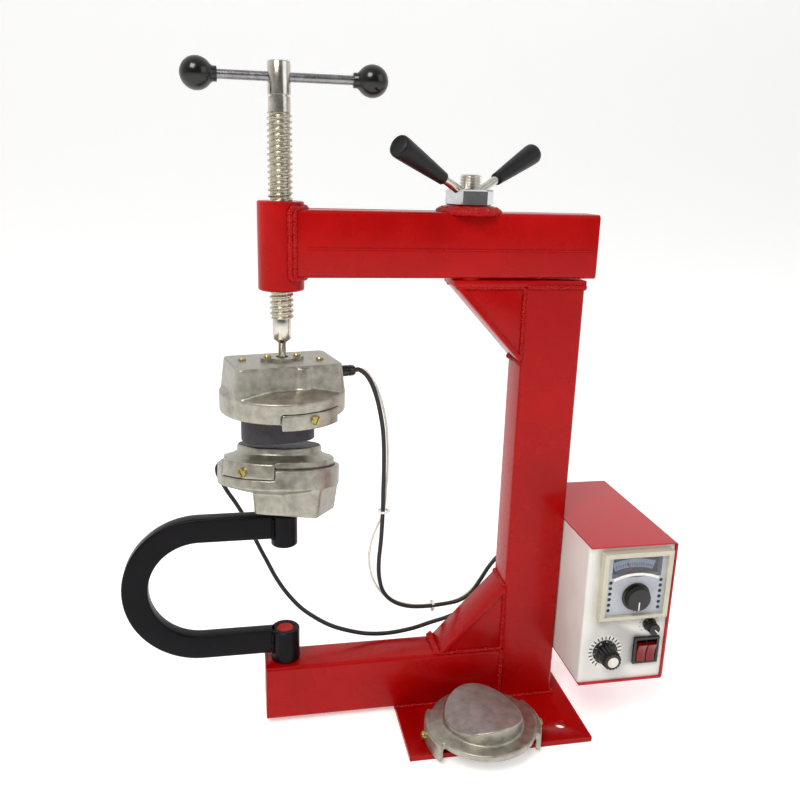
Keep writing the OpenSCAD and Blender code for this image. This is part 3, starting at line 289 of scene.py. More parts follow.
for stem, route, *looks in (("upper_lead", upper_route, LEAD_D, lead_rubber, "black_rubber"),
                            ("sensor_lead", sensor_route, SENSOR_D, sensor_sleeve, "white_lead")):
    lead(stem + "_drop", stem, route, 0, UPPER_SPLIT, ("upper_head", "arm"),
         (-110, 25, 364), (-110, 25, 264), *looks)
    lead(stem + "_run", stem, route, UPPER_SPLIT, len(route) - 1, ("arm", "frame"),
         (-96, 35, 100), (-52, 35, 100), *looks)
for name, first, last, bodies, start, end in (
        ("lower_lead_root", 0, ROOT_END, ("lower_head", "head_stud"),
         (-192, 60, 234), (-205, 93, 238)),
        ("lower_lead_drop", ROOT_END, LOWER_SPLIT, ("head_stud", "swing_arm"),
         (-240, 75, 246), (-240, 75, 151)),
        ("lower_lead_run", LOWER_SPLIT, len(lower_route) - 1, ("swing_arm", "frame"),
         (-216, 48, 133), (-110, 24, 72))):
    lead(name, "lower_lead", lower_route, first, last, bodies, start, end,
         LEAD_D, lead_rubber, "black_rubber")

# Welded frame. Rectangular steel tube and plate, mitred and arc welded, then sprayed all over with a thick
# gloss red enamel, so that the tube's corners are round and the weld beads stand under the paint.
TUBE_R, TUBE_HALF, PLATE = 4, 20, 6
LOW_TOP, COLUMN_LEFT, COLUMN_RIGHT, COLUMN_TOP = 66, 19, 79, 454


def wavy(made, wave_mm, depth_mm):
    """Adds a slow waviness of the metal under the paint to a material's bump."""
    tree = made.node_tree
    shader = tree.nodes["Principled BSDF"]
    fine = next(n for n in tree.nodes if n.type == "BUMP")
    place = add(tree, "ShaderNodeTexCoord").outputs["Object"]
    slow = add(tree, "ShaderNodeTexNoise", None,
               {"Vector": place, "Scale": 1 / (wave_mm * MM), "Detail": 1.0})
    swell = add(tree, "ShaderNodeBump", None,
                {"Height": slow.outputs["Fac"], "Strength": 1.0, "Distance": depth_mm * MM,
                 "Normal": fine.outputs["Normal"]})
    tree.links.new(swell.outputs["Normal"], shader.inputs["Normal"])
    return made


# Gloss enamel on mill-scaled tube: deep red, a little uneven in depth, with orange peel drawn coarse to show
red_enamel = wavy(speckle("gloss_red_enamel", "#940203", "#A80505", 60, (0.2, 0.34), 1.6, 0.02, IOR=1.5,
                          Specular_IOR_Level=0.16, Coat_Weight=0.04, Coat_Roughness=0.08), 22, 0.25)


def block(bm, low, high, radius, steps=4, along=None):
    """A box with rounded edges, all of them or only those along one axis. Millimetres."""
    low, high = Vector(low) * MM, Vector(high) * MM
    made = bmesh.ops.create_cube(bm, size=1)["verts"]
    for v in made:
        v.co = Vector(high[i] if v.co[i] > 0 else low[i] for i in range(3))
    edges = {e for v in made for e in v.link_edges}
    if along is not None:
        edges = {e for e in edges if abs((e.verts[0].co - e.verts[1].co).normalized()[along]) > 0.9}
    if radius:
        bmesh.ops.bevel(bm, geom=list(edges), offset=radius * MM, segments=steps, profile=0.5, affect="EDGES")


def fit(made, body, nodes=()):
    """Fixes a piece to its body and hides the solids it stands for."""
    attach(made, body)
    if nodes:
        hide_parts(*nodes)
    return made


def soften(bm, sharper, radius, steps=2):
    """Rounds every edge that is sharper than an angle. Millimetres."""
    edges = [e for e in bm.edges if len(e.link_faces) == 2 and e.calc_face_angle(0) > math.radians(sharper)]
    bmesh.ops.bevel(bm, geom=edges, offset=radius * MM, segments=steps, profile=0.5, affect="EDGES",
                    clamp_overlap=True)


def plain_mesh(made):
    """A mesh of an object as its modifiers leave it."""
    bpy.context.view_layer.update()
    return bpy.data.meshes.new_from_object(made.evaluated_get(bpy.context.evaluated_depsgraph_get()))


def settled(made):
    """Turns an object with live modifiers into a plain mesh."""
    mesh = plain_mesh(made)
    made.modifiers.clear()
    made.data = mesh
    return made


def cut_away(made, cutter):
    """Takes one closed mesh out of another and uses the cutter up."""
    cut = made.modifiers.new("cut", "BOOLEAN")
    cut.operation, cut.object, cut.solver = "DIFFERENCE", cutter, "EXACT"
    settled(made)
    bpy.data.objects.remove(cutter)


BASE_X, BASE_Y, HOLE_X, HOLE_Y, HOLE_R = 95, 97, 70, 73, 5.5
plate = bmesh.new()
block(plate, (-BASE_X, -BASE_Y, 0), (BASE_X, BASE_Y, PLATE), 0)
plate_piece = solid("base_plate_sheet", plate, red_enamel, 30)
holes = bmesh.new()
for x in (-HOLE_X, HOLE_X):
    for y in (-HOLE_Y, HOLE_Y):
        bmesh.ops.create_cone(holes, cap_ends=True, segments=48, radius1=HOLE_R * MM, radius2=HOLE_R * MM,
                              depth=30 * MM, matrix=Matrix.Translation((x * MM, y * MM, 0)))
cut_away(plate_piece, solid("foot_hole_cutter", holes, red_enamel))
rim = plate_piece.modifiers.new("eased_edge", "BEVEL")
rim.width, rim.segments, rim.limit_method, rim.angle_limit = 0.8 * MM, 2, "ANGLE", math.radians(50)
fit(settled(plate_piece), "frame", ("base_plate",))

tubes = bmesh.new()
block(tubes, (-230, -TUBE_HALF, PLATE), (22, TUBE_HALF, LOW_TOP), TUBE_R, along=0)
block(tubes, (COLUMN_LEFT, -TUBE_HALF, PLATE), (COLUMN_RIGHT, TUBE_HALF, COLUMN_TOP), TUBE_R, along=2)
fit(solid("frame_tubes", tubes, red_enamel), "frame", ("lower_arm", "column"))
RUN, RISE, GUSSET, WEB_HALF, LAP = 68, 74, 5, 18, 1


def wedge(bm, corner_z, upward):
    """A gusset: a sloping plate between arm and column, and a web set in under it. Millimetres."""
    slope = math.hypot(RUN, RISE)
    cut_x, cut_z = GUSSET * slope / RISE - RUN, RISE - GUSSET * slope / RUN
    for half, outline in ((TUBE_HALF, [(-RUN, 0), (0, RISE), (0, cut_z), (cut_x, 0)]),
                          (WEB_HALF, [(cut_x - LAP, 0), (0, cut_z + LAP), (0, 0)])):
        skin(bm, [[bm.verts.new(Vector((COLUMN_LEFT + x, y, corner_z + upward * z)) * MM) for x, z in outline]
                  for y in (-half, half)])
    bmesh.ops.recalc_face_normals(bm, faces=bm.faces)


gussets = bmesh.new()
wedge(gussets, LOW_TOP, 1)
wedge(gussets, COLUMN_TOP, -1)
soften(gussets, 30, 0.8)
fit(solid("gusset_plates", gussets, red_enamel), "frame", ("lower_gusset", "upper_gusset"))

cap = bmesh.new()
block(cap, (-51, -TUBE_HALF, COLUMN_TOP), (80, TUBE_HALF, COLUMN_TOP + PLATE), 1.0, 2)
fit(solid("top_plate_sheet", cap, red_enamel), "frame", ("top_plate",))


# Weld beads. Each is laid by hand with an arc, as overlapping drops of steel along a seam, uneven in width,
# and lies under the same paint as the pieces that it joins.
def node_tree(name, result, *inputs):
    """A new tree of geometry nodes: its result's name, and its inputs' names, kinds and first values."""
    tree = bpy.data.node_groups.new(name, "GeometryNodeTree")
    for label, kind, value in inputs:
        socket = tree.interface.new_socket(label, in_out="INPUT", socket_type="NodeSocket" + kind)
        if value is not None:
            socket.default_value = value
    tree.interface.new_socket(result, in_out="OUTPUT", socket_type="NodeSocketGeometry")
    return tree, add(tree, "NodeGroupInput").outputs


def end_tree(tree, geometry, finish, result):
    """Ends a tree of geometry nodes: copies become real and take their finish."""
    real = add(tree, "GeometryNodeRealizeInstances", None, {"Geometry": geometry})
    done = add(tree, "GeometryNodeSetMaterial", None,
               {"Geometry": real.outputs["Geometry"], "Material": finish})
    add(tree, "NodeGroupOutput", None, {result: done.outputs["Geometry"]})
    return tree


def weld_tree():
    """Drops of weld along curves: spacing, half width and a seed for their unevenness."""
    tree, given = node_tree(
        "weld_bead", "Beads", ("Seams", "Geometry", None), ("Spacing", "Float", 2.4 * MM),
        ("Half width", "Float", 3.2 * MM), ("Seed", "Int", 7), ("Paint", "Material", None))
    drops = add(tree, "GeometryNodeCurveToPoints", {"mode": "LENGTH"},
                {"Curve": given["Seams"], "Length": given["Spacing"]})
    ball = add(tree, "GeometryNodeMeshIcoSphere", None, {"Radius": given["Half width"], "Subdivisions": 2})
    even = add(tree, "GeometryNodeSetShadeSmooth", None, {"Geometry": ball.outputs["Mesh"]})
    uneven = add(tree, "FunctionNodeRandomValue", {"data_type": "FLOAT_VECTOR"},
                 {0: (0.8, 0.8, 0.6), 1: (1.15, 1.2, 0.95), "Seed": given["Seed"]})
    laid = add(tree, "GeometryNodeInstanceOnPoints", None,
               {"Points": drops.outputs["Points"], "Instance": even.outputs["Geometry"],
                "Rotation": drops.outputs["Rotation"], "Scale": uneven.outputs[0]})
    return end_tree(tree, laid.outputs["Instances"], given["Paint"], "Beads")


def dressed(made, tree, **values):
    """Runs a node tree on an object with named inputs and keeps the result as a plain mesh."""
    wear = made.modifiers.new(tree.name, "NODES")
    wear.node_group = tree
    for item in tree.interface.items_tree:
        key = item.name.replace(" ", "_").lower()
        if item.in_out == "INPUT" and key in values:
            wear[item.identifier] = values[key]
    name, mesh = made.name, plain_mesh(made)
    bpy.data.objects.remove(made)
    return shown(name, mesh)


def seams(name, lines):
    """Straight-sided curves through lists of points, one for each seam. Millimetres."""
    data = bpy.data.curves.new(name, "CURVE")
    data.dimensions = "3D"
    for line in lines:
        spline = data.splines.new("POLY")
        spline.points.add(len(line) - 1)
        for point, spot in zip(spline.points, line):
            point.co = (*(Vector(spot) * MM), 1)
    return shown(name, data)


def ring(x, z, radius, first=0, last=360, steps=48):
    """Points on a level ring about a vertical axis."""
    return [(x + radius * math.cos(math.radians(a)), radius * math.sin(math.radians(a)), z)
            for a in (first + (last - first) * k / steps for k in range(steps + 1))]


weld = weld_tree()
frame_seams = []
for side in (-1, 1):
    y, web = side * TUBE_HALF, side * WEB_HALF
    frame_seams += [
        [(-95, y, 6.5), (19, y, 6.5)], [(19, y, 6.5), (79, y, 6.5)], [(19, y, 9), (19, y, 64)],
        [(-47, web, 66.3), (17, web, 66.3)], [(19, web, 68), (19, web, 136)],
        [(-47, web, 453.5), (17, web, 453.5)], [(19, web, 384), (19, web, 452)],
        [(22, y, 453.6), (78, y, 453.6)]]
for x, half, z in ((79.3, 18, 6.5), (79.3, 17, 453.6), (-49.5, 17, 66.2), (18.6, 17, 140.5),
                   (18.6, 17, 379.5), (-50.5, 19, 67.5), (-53, 18, 67)):
    frame_seams.append([(x, -half, z), (x, half, z)])
frame_welds = dressed(seams("frame_welds", frame_seams), weld, half_width=2.6 * MM, paint=red_enamel)
fit(frame_welds, "frame")

# Upper arm. The same tube, coped at its left end onto a thick turned sleeve that is tapped for the screw,
# with a turned bush welded through it near the column and its right end closed by a plate.
PIVOT_X, ARM_LOW, ARM_TOP = -35, 461.5, 521.5
boom = bmesh.new()
block(boom, (PRESS_X, -TUBE_HALF, ARM_LOW), (88, TUBE_HALF, ARM_TOP), TUBE_R, along=0)
boom_piece = solid("upper_arm_tube", boom, red_enamel)
ridge = bmesh.new()
tube(ridge, [Vector((x, -19.95, 488)) * MM for x in (-186, 86)], 1.1 * MM)
fit(solid("upper_arm_seam_ridge", ridge, red_enamel), "arm")


def lathe(bm, profile, place=Matrix(), steps=64, flutes=0, depth=0.0):
    """A turned shape from its half outline of radius and height; flutes press in grooves. Millimetres."""
    rings = []
    for radius, height in profile:
        if radius == 0:
            rings.append([bm.verts.new(place @ (Vector((0, 0, height)) * MM))])
            continue
        spots = []
        for k in range(steps):
            turn = math.tau * k / steps
            r = radius - (depth * (0.5 + 0.5 * math.cos(flutes * turn)) ** 3 if flutes else 0)
            spot = Vector((r * math.cos(turn), r * math.sin(turn), height))
            spots.append(bm.verts.new(place @ (spot * MM)))
        rings.append(spots)
    hollow = profile[0] == profile[-1]
    if hollow:
        bmesh.ops.delete(bm, geom=rings.pop(), context="VERTS")
        rings.append(rings[0])
    for low, high in zip(rings, rings[1:]):
        for k in range(steps):
            n = (k + 1) % steps
            if len(low) == 1:
                bm.faces.new((low[0], high[n], high[k]))
            elif len(high) == 1:
                bm.faces.new((low[k], low[n], high[0]))
            else:
                bm.faces.new((low[k], low[n], high[n], high[k]))
    if len(rings[0]) > 1 and not hollow:
        bm.faces.new(reversed(rings[0]))
    if len(rings[-1]) > 1 and not hollow:
        bm.faces.new(rings[-1])


def at(x, y=0, z=0):
    """A place in millimetres."""
    return Matrix.Translation(Vector((x, y, z)) * MM)


def turned(name, finish, profile, place, steps=64, sharp=35):
    """A piece that is one turned shape."""
    bm = bmesh.new()
    lathe(bm, profile, place, steps)
    return solid(name, bm, finish, sharp)


cut_away(boom_piece, turned("arm_notch", red_enamel, [(0, 440), (16, 440), (16, 540), (0, 540)], at(PRESS_X)))
fit(boom_piece, "arm", ("upper_arm",))
sleeve = [(11.4, 449), (20, 449), (21, 450), (21, 527), (20, 528), (11.4, 528), (11.4, 449)]
fit(turned("screw_sleeve_turning", red_enamel, sleeve, at(PRESS_X)), "arm", ("screw_sleeve",))
bush = [(10.1, 460.4), (18, 460.4), (18, 521), (29, 521.2), (28.4, 522.6), (24.5, 525), (23, 527),
        (10.1, 527), (10.1, 460.4)]
fit(turned("pivot_bush_turning", red_enamel, bush, at(PIVOT_X)), "arm", ("pivot_bush",))
arm_seams = [ring(PRESS_X, 521.8, 22, -68, 68, 20), ring(PRESS_X, 461.2, 22, -68, 68, 20),
             ring(PIVOT_X, 521.6, 28), ring(PIVOT_X, 523, 25.5)]
for side in (-1, 1):
    for x, y, low, high in ((PRESS_X + 7, side * 20.2, 463, 520), (PRESS_X + 11, side * 19.6, 462, 521)):
        arm_seams.append([(x, y, low), (x, y, high)])
arm_welds = dressed(seams("arm_welds", arm_seams), weld, spacing=1.6 * MM, half_width=3 * MM, seed=11,
                    paint=red_enamel)
fit(arm_welds, "arm")

# Clamp. A bright-plated nut on the pivot stud locks the upper arm; two steel rods with long tapered grips of
# moulded phenolic are screwed into its flats.
# Nickel plate on turned steel: bright, faintly warm, with fine tool rings
nickel = speckle("nickel_plated_steel", "#B9B4AA", "#D6D2C8", 9, (0.14, 0.26), 0.9, 0.012, Metallic=1.0)
# Moulded phenolic: deep black with a polished skin
phenolic = speckle("moulded_black_phenolic", "#070707", "#0F0E0F", 18, (0.16, 0.28), 2.2, 0.015, IOR=1.58,
                   Specular_IOR_Level=0.35, Coat_Weight=0.1, Coat_Roughness=0.06)
# The same phenolic as it comes out of a matt mould: black without a shine
grip_phenolic = speckle("matt_black_phenolic", "#080707", "#100E0F", 6, (0.34, 0.5), 1.2, 0.05, IOR=1.58,
                        Specular_IOR_Level=0.22)
# Bright chrome on a machined nut: a clear, cool mirror
chrome = speckle("bright_chrome", "#CFD0D4", "#E4E4E6", 12, (0.04, 0.1), 1.4, 0.01, Metallic=1.0)
nut = bmesh.new()
lathe(nut, [(21, 527.4), (23, 528.6), (23, 540.5), (20.6, 541.9)], at(PIVOT_X), 6)
soften(nut, 20, 0.35)
fit(solid("clamp_nut_hexagon", nut, chrome, 25), "clamp", ("clamp_nut",))
stud = [(0, 454), (10, 454), (10, 541.4), (8.9, 541.6), (8.9, 554), (8.2, 554.9), (0, 554.9)]
fit(turned("pivot_stud_turning", nickel, stud, at(PIVOT_X)), "frame", ("pivot_stud",))


def thread_tree():
    """A cylinder whose wall is cut to a helix: length, pitch, outer radius and depth of the thread."""
    tree, given = node_tree("screw_thread", "Thread", ("Blank", "Geometry", None), ("Length", "Float", 0.18),
                            ("Pitch", "Float", 5 * MM), ("Outer radius", "Float", 11 * MM),
                            ("Depth", "Float", 1.8 * MM), ("Rings", "Int", 540), ("Metal", "Material", None))
    bar = add(tree, "GeometryNodeMeshCylinder", None,
              {"Vertices": 72, "Side Segments": given["Rings"], "Radius": given["Outer radius"],
               "Depth": given["Length"]})
    spot = add(tree, "ShaderNodeSeparateXYZ", None,
               {"Vector": add(tree, "GeometryNodeInputPosition").outputs[0]})

    found = {"x": spot.outputs["X"], "y": spot.outputs["Y"], "z": spot.outputs["Z"], "pitch": given["Pitch"],
             "depth": given["Depth"], "radius": given["Outer radius"]}
    for result, operation, first, second in (
            ("angle", "ARCTAN2", "y", "x"), ("turn", "DIVIDE", "angle", math.tau),
            ("height", "DIVIDE", "z", "pitch"), ("ahead", "SUBTRACT", "height", "turn"),
            ("phase", "FRACT", "ahead", 0.0), ("rise", "RAMP", 0.08, 0.26), ("fall", "RAMP", 0.52, 0.7),
            ("crest", "SUBTRACT", "rise", "fall"), ("root", "SUBTRACT", 1.0, "crest"),
            ("sunk", "MULTIPLY", "depth", "root"), ("loss", "DIVIDE", "sunk", "radius"),
            ("share", "SUBTRACT", 1.0, "loss"), ("new_x", "MULTIPLY", "x", "share"),
            ("new_y", "MULTIPLY", "y", "share")):
        if operation == "RAMP":
            step = add(tree, "ShaderNodeMapRange", {"interpolation_type": "SMOOTHSTEP"},
                       {"Value": found["phase"], "From Min": first, "From Max": second})
        else:
            step = add(tree, "ShaderNodeMath", {"operation": operation},
                       {0: found.get(first, first), 1: found.get(second, second)})
        found[result] = step.outputs[0]
    moved = add(tree, "ShaderNodeCombineXYZ", None,
                {"X": found["new_x"], "Y": found["new_y"], "Z": found["z"]})
    cut = add(tree, "GeometryNodeSetPosition", None,
              {"Geometry": bar.outputs["Mesh"], "Position": moved.outputs["Vector"]})
    even = add(tree, "GeometryNodeSetShadeSmooth", None, {"Geometry": cut.outputs["Geometry"]})
    return end_tree(tree, even.outputs["Geometry"], given["Metal"], "Thread")


thread_cut = thread_tree()


def threaded(name, x, low, high, metal, **values):
    """A length of thread between two heights on an upright axis. Millimetres."""
    blank = shown(name, bpy.data.meshes.new(name))
    made = dressed(blank, thread_cut, length=(high - low) * MM, metal=metal, **values)
    made.data.transform(at(x, 0, (high + low) / 2))
    made.data.set_sharp_from_angle(angle=math.radians(60))
    return made


# Worn plating in the thread: yellower and duller than the head, with grease in the roots
thread_steel = speckle("worn_plated_thread", "#A09A88", "#D6D1C0", 3, (0.2, 0.36), 0.7, 0.02, Metallic=1.0)
stud_thread = threaded("pivot_stud_thread", PIVOT_X, 541.2, 554, nickel, pitch=2.5 * MM, outer_radius=10 * MM,
                       depth=1.2 * MM, rings=90)
fit(stud_thread, "frame", ("pivot_stud",))

LEVER_Z, LEVER_RISE, LEVER_TURN = 533.9, 24, 35
rods, grips = bmesh.new(), bmesh.new()
for turn in (LEVER_TURN, LEVER_TURN + 180):
    lever = at(PIVOT_X, 0, LEVER_Z) @ Matrix.Rotation(math.radians(turn), 4, "Z")
    lever = lever @ Matrix.Rotation(math.radians(90 - LEVER_RISE), 4, "Y")
    lathe(rods, [(0, 13.7), (4, 13.7), (4, 58), (0, 58)], lever, 32)
    lathe(grips, [(4.1, 41.6), (5.2, 41.6), (5.9, 42.4), (6.1, 46), (7.2, 60), (8.5, 78), (9.6, 94),
                  (10, 99.5), (10, 104), (9.5, 105.4), (8.4, 106), (7.4, 105.6), (4, 105), (0, 104.9)],
          lever, 48)
fit(solid("lever_rod_pair", rods, nickel), "clamp", ("lever_rods",))
fit(solid("lever_grip_pair", grips, grip_phenolic, 50), "clamp", ("lever_grips",))

# Press screw. A turned steel screw with a square-crested thread, plated bright, with a drilled head for the
# handle bar and a ball on a thin neck that turns in the upper head. The bar slides until a knob stops it.
screw_low, screw_high = (corner.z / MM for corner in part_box("press_screw"))
BALL_R, KNOB_R = 7, 14
BALL_Z, PLAIN_Z, THREAD_Z, HEAD_Z = screw_low + BALL_R, screw_low + 36, screw_low + 56, screw_high - 42
thread = threaded("screw_thread", PRESS_X, THREAD_Z, HEAD_Z, thread_steel)
fit(thread, "screw", ("press_screw",))
turning = bmesh.new()
ball = [(BALL_R * math.sin(math.radians(a)), BALL_Z - BALL_R * math.cos(math.radians(a)))
        for a in range(0, 150, 10)]
lathe(turning, [*ball, (3.5, BALL_Z + BALL_R), (3.5, PLAIN_Z - 4), (4.2, PLAIN_Z - 3), (8, PLAIN_Z),
                (8.5, PLAIN_Z + 0.6), (8.5, THREAD_Z - 0.6), (8, THREAD_Z + 1), (0, THREAD_Z + 1)],
      at(PRESS_X), 72)
lathe(turning, [(0, HEAD_Z - 1), (9.2, HEAD_Z - 1), (9.2, HEAD_Z), (9.7, HEAD_Z + 0.5), (9.7, HEAD_Z + 12.8),
                (8.4, HEAD_Z + 13), (8.4, HEAD_Z + 14.4), (10, HEAD_Z + 14.6), (10, screw_high - 1.2),
                (9.6, screw_high - 0.4), (8.8, screw_high), (0, screw_high)], at(PRESS_X), 72)
fit(solid("screw_turning", turning, nickel, 40), "screw", ("press_screw",))

BAR_Z, BAR_MID, BAR_HALF, ROD_HALF, ROD_R = screw_high - 13, PRESS_X + 6, 75, 73, 4
# Bright drawn steel: greyer than the plated screw
bar_steel = speckle("bright_drawn_steel", "#77777B", "#98989B", 6, (0.2, 0.34), 0.8, 0.015, Metallic=1.0)


def sideways(side):
    """A quarter turn that lays Z along X, to the right or, with -1, to the left."""
    return Matrix.Rotation(side * math.pi / 2, 4, "Y")


rod = [(0, -ROD_HALF), (ROD_R, -ROD_HALF), (ROD_R, ROD_HALF), (0, ROD_HALF)]
rod_piece = turned("handle_bar_rod", bar_steel, rod, at(BAR_MID, 0, BAR_Z) @ sideways(1), 40)
fit(rod_piece, "handle", ("handle_bar",))
knobs = bmesh.new()
ball = [(KNOB_R * math.sin(math.radians(a)), -KNOB_R * math.cos(math.radians(a))) for a in range(0, 153, 9)]
for side in (-1, 1):
    lathe(knobs, [*ball, (6.5, 13.2), (6.5, 16.4), (6, 17), (4.1, 17), (0, 17)],
          at(BAR_MID + side * BAR_HALF, 0, BAR_Z) @ sideways(-side), 64)
fit(solid("handle_knob_pair", knobs, phenolic, 50), "handle", ("bar_knobs",))

# Heating heads. Both covers and their dies are sand castings in aluminium: grainy, with soft edges, machined
# only where they press, and coated dark there. A fine skin wrapped round each solid gives it the soft edges.
def cast_copy(name, node, finish, skin_mm, rounds):
    """A casting's copy of a solid, wrapped in a skin that rounds its edges."""
    bm = bmesh.new()
    bm.from_mesh(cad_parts[node].data)
    bmesh.ops.remove_doubles(bm, verts=bm.verts, dist=1e-6)
    made = solid(name, bm, finish)
    wrap = made.modifiers.new("skin", "REMESH")
    wrap.mode, wrap.voxel_size, wrap.use_smooth_shade = "VOXEL", skin_mm * MM, True
    ease = made.modifiers.new("fettled", "SMOOTH")
    ease.factor, ease.iterations = 0.5, rounds
    settled(made)
    if not made.data.materials:
        made.data.materials.append(finish)
    return made


def cast(made, pit_mm, depth_mm):
    """Adds the coarse pits of a sand mould to a casting's bump."""
    tree = made.node_tree
    fine = next(n for n in tree.nodes if n.type == "BUMP")
    place = add(tree, "ShaderNodeTexCoord").outputs["Object"]
    pits = add(tree, "ShaderNodeTexVoronoi", {"feature": "SMOOTH_F1"},
               {"Vector": place, "Scale": 1 / (pit_mm * MM)})
    dent = add(tree, "ShaderNodeBump", {"invert": True},
               {"Height": pits.outputs["Distance"], "Strength": 0.7, "Distance": depth_mm * MM,
                "Normal": fine.outputs["Normal"]})
    tree.links.new(dent.outputs["Normal"], tree.nodes["Principled BSDF"].inputs["Normal"])
    return made


# Sand-cast aluminium: warm grey, half matt, with a sandy grain of about a millimetre
cast_aluminium = cast(speckle("sand_cast_aluminium", "#8E8B80", "#B3B0A5", 9, (0.3, 0.46), 0.8, 0.08,
                              Metallic=0.85), 1.7, 0.07)
# Coated casting: dark mauve grey, nearly matt; the darkness is painted shade, for the dies that sit under the
# heads
shaded_die_coating = cast(speckle("dark_coated_casting", "#332F35", "#443F46", 8, (0.46, 0.62), 0.9, 0.05,
                          Specular_IOR_Level=0.2), 2.2, 0.04)
# The same coating on the spare die, whose face turns up to the light: lighter and a little metallic; the
# lightness is painted light
lit_die_coating = cast(speckle("worn_coated_casting", "#796D6C", "#958884", 9, (0.4, 0.56), 0.9, 0.05, Metallic=0.3),
                2.2, 0.04)
SKIN, FETTLING = 1.1, 4
for node, body in (("upper_cover", "upper_head"), ("lower_cover", "lower_head"), ("upper_die", "upper_head"),
                   ("lower_die", "lower_head"), ("spare_die", "spare")):
    fit(cast_copy(node + "_casting", node, cast_aluminium, SKIN, FETTLING), body, (node,))


def head_frame(upper):
    """Where a head's own X, Y and Z lie, its open side at zero. Millimetres to metres."""
    if upper:
        return at(PRESS_X, 0, upper_face) @ spun(UPPER_TURN).to_4x4()
    tipped = at(PRESS_X, 0, LEAN_Z) @ (lean @ spun(LOWER_TURN)).to_4x4()
    return tipped @ at(SOCKET_OFF, 0, LOWER_FACE - LEAN_Z) @ Matrix.Rotation(math.pi, 4, "X")


LUG_MID = math.radians(-76)
spare_frame = at(-17, -80, 19) @ spun(LUG_MID).to_4x4() @ Matrix.Rotation(math.pi, 4, "X")
FACE_STEPS, FACE_ROWS, PROUD = 96, 12, 0.2


def pressing_face(name, place, radius, curve, face_z, back_z, finish):
    """A coated plug whose face is part of a lying cylinder, a little proud of the casting. Millimetres."""
    bm = bmesh.new()
    turns = [math.tau * k / FACE_STEPS for k in range(FACE_STEPS)]

    def round_of(r, height):
        """A ring of points about the plug's axis, its height given for each point's Y."""
        flat = [(r * math.cos(a), r * math.sin(a)) for a in turns]
        return [bm.verts.new(place @ (Vector((x, y, height(y))) * MM)) for x, y in flat]

    middle = bm.verts.new(place @ (Vector((0, 0, face_z - PROUD)) * MM))
    rings = [round_of(radius * row / FACE_ROWS, lambda y: face_z - PROUD + y ** 2 / (2 * curve))
             for row in range(1, FACE_ROWS + 1)]
    rings.append(round_of(radius, lambda y: back_z))
    for k in range(FACE_STEPS):
        bm.faces.new((middle, rings[0][k], rings[0][(k + 1) % FACE_STEPS]))
    skin(bm, rings, closed_start=False)
    soften(bm, 50, 0.5)
    return solid(name, bm, finish, 40)


def refinish(finish, *nodes):
    """Gives solids that are shown as they are another finish."""
    for node in nodes:
        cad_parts[node].data.materials.clear()
        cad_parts[node].data.materials.append(finish)


# The dies under the heads take the coating in painted shade, the spare die the same coating in painted light
for name, place, radius, curve, face_z, back_z, finish, body, node in (
        ("upper_die_post", head_frame(True) @ at(-5), 34.7, 140, -29, -0.4,
         shaded_die_coating, "upper_head", "upper_die"),
        ("lower_die_face", head_frame(False), 39.6, 1e6, -18.5, -16,
         shaded_die_coating, "lower_head", "lower_die"),
        ("spare_die_face", spare_frame, 38.6, 71, -24, -12,
         lit_die_coating, "spare", "spare_die")):
    fit(pressing_face(name, place, radius, curve, face_z, back_z, finish), body, (node,))
refinish(cast_aluminium, "upper_heat_plate", "lower_heat_plate", "ball_keeper")

# Screws. Turned steel screws with slotted round heads, zinc plated and yellow passivated, hold the dies and
# the upper cover. They are driven into tapped holes in the castings.
# Yellow zinc: brassy with a faint bloom
yellow_zinc = speckle("yellow_zinc_plate", "#9A8547", "#C4B27C", 3, (0.22, 0.38), 0.6, 0.02, Metallic=0.9)


def scatter_tree():
    """Copies of a template on points, turned so that its Z looks along each point's facing."""
    tree, given = node_tree("fixed_on_points", "Copies", ("Points", "Geometry", None),
                            ("Template", "Object", None), ("Finish", "Material", None))
    facing = add(tree, "GeometryNodeInputNamedAttribute", {"data_type": "FLOAT_VECTOR"}, {"Name": "facing"})
    turn = add(tree, "FunctionNodeAlignRotationToVector", {"axis": "Z"},
               {"Vector": facing.outputs["Attribute"]})
    shape = add(tree, "GeometryNodeObjectInfo", None, {"Object": given["Template"]})
    copies = add(tree, "GeometryNodeInstanceOnPoints", None,
                 {"Points": given["Points"], "Instance": shape.outputs["Geometry"],
                  "Rotation": turn.outputs["Rotation"]})
    return end_tree(tree, copies.outputs["Instances"], given["Finish"], "Copies")


scatter = scatter_tree()


def scattered(name, template, spots, finish):
    """A template set at every spot, a place in millimetres and the way it faces, and then used up."""
    mesh = bpy.data.meshes.new(name)
    mesh.from_pydata([Vector(p) * MM for p, _ in spots], [], [])
    mesh.attributes.new("facing", "FLOAT_VECTOR", "POINT")
    facings = [c for _, facing in spots for c in Vector(facing).normalized()]
    mesh.attributes["facing"].data.foreach_set("vector", facings)
    made = dressed(shown(name, mesh), scatter, template=template, finish=finish)
    bpy.data.objects.remove(template)
    return made


HEAD_FLOOR, HEAD_TOP, HEAD_ARC = 0.55, 0.82, 12


def slotted_head(radius, height, slot):
    """A round screw head with a sawn slot, its seat at zero. Millimetres."""
    bm = bmesh.new()
    floor_z = HEAD_FLOOR * height
    lathe(bm, [(0, -1), (radius, -1), (radius, floor_z), (0, floor_z)], steps=32)
    reach = math.acos(slot / 2 / radius)
    arc = [-reach + 2 * reach * k / HEAD_ARC for k in range(HEAD_ARC + 1)]
    for side in (1, -1):
        rims = []
        for share, z in ((1, floor_z), (HEAD_TOP, height)):
            rims.append([bm.verts.new(Vector((side * max(share * radius * math.cos(a), slot / 2),
                                              side * share * radius * math.sin(a), z)) * MM) for a in arc])
        skin(bm, rims)
    return solid("slotted_head", bm, yellow_zinc, 30)


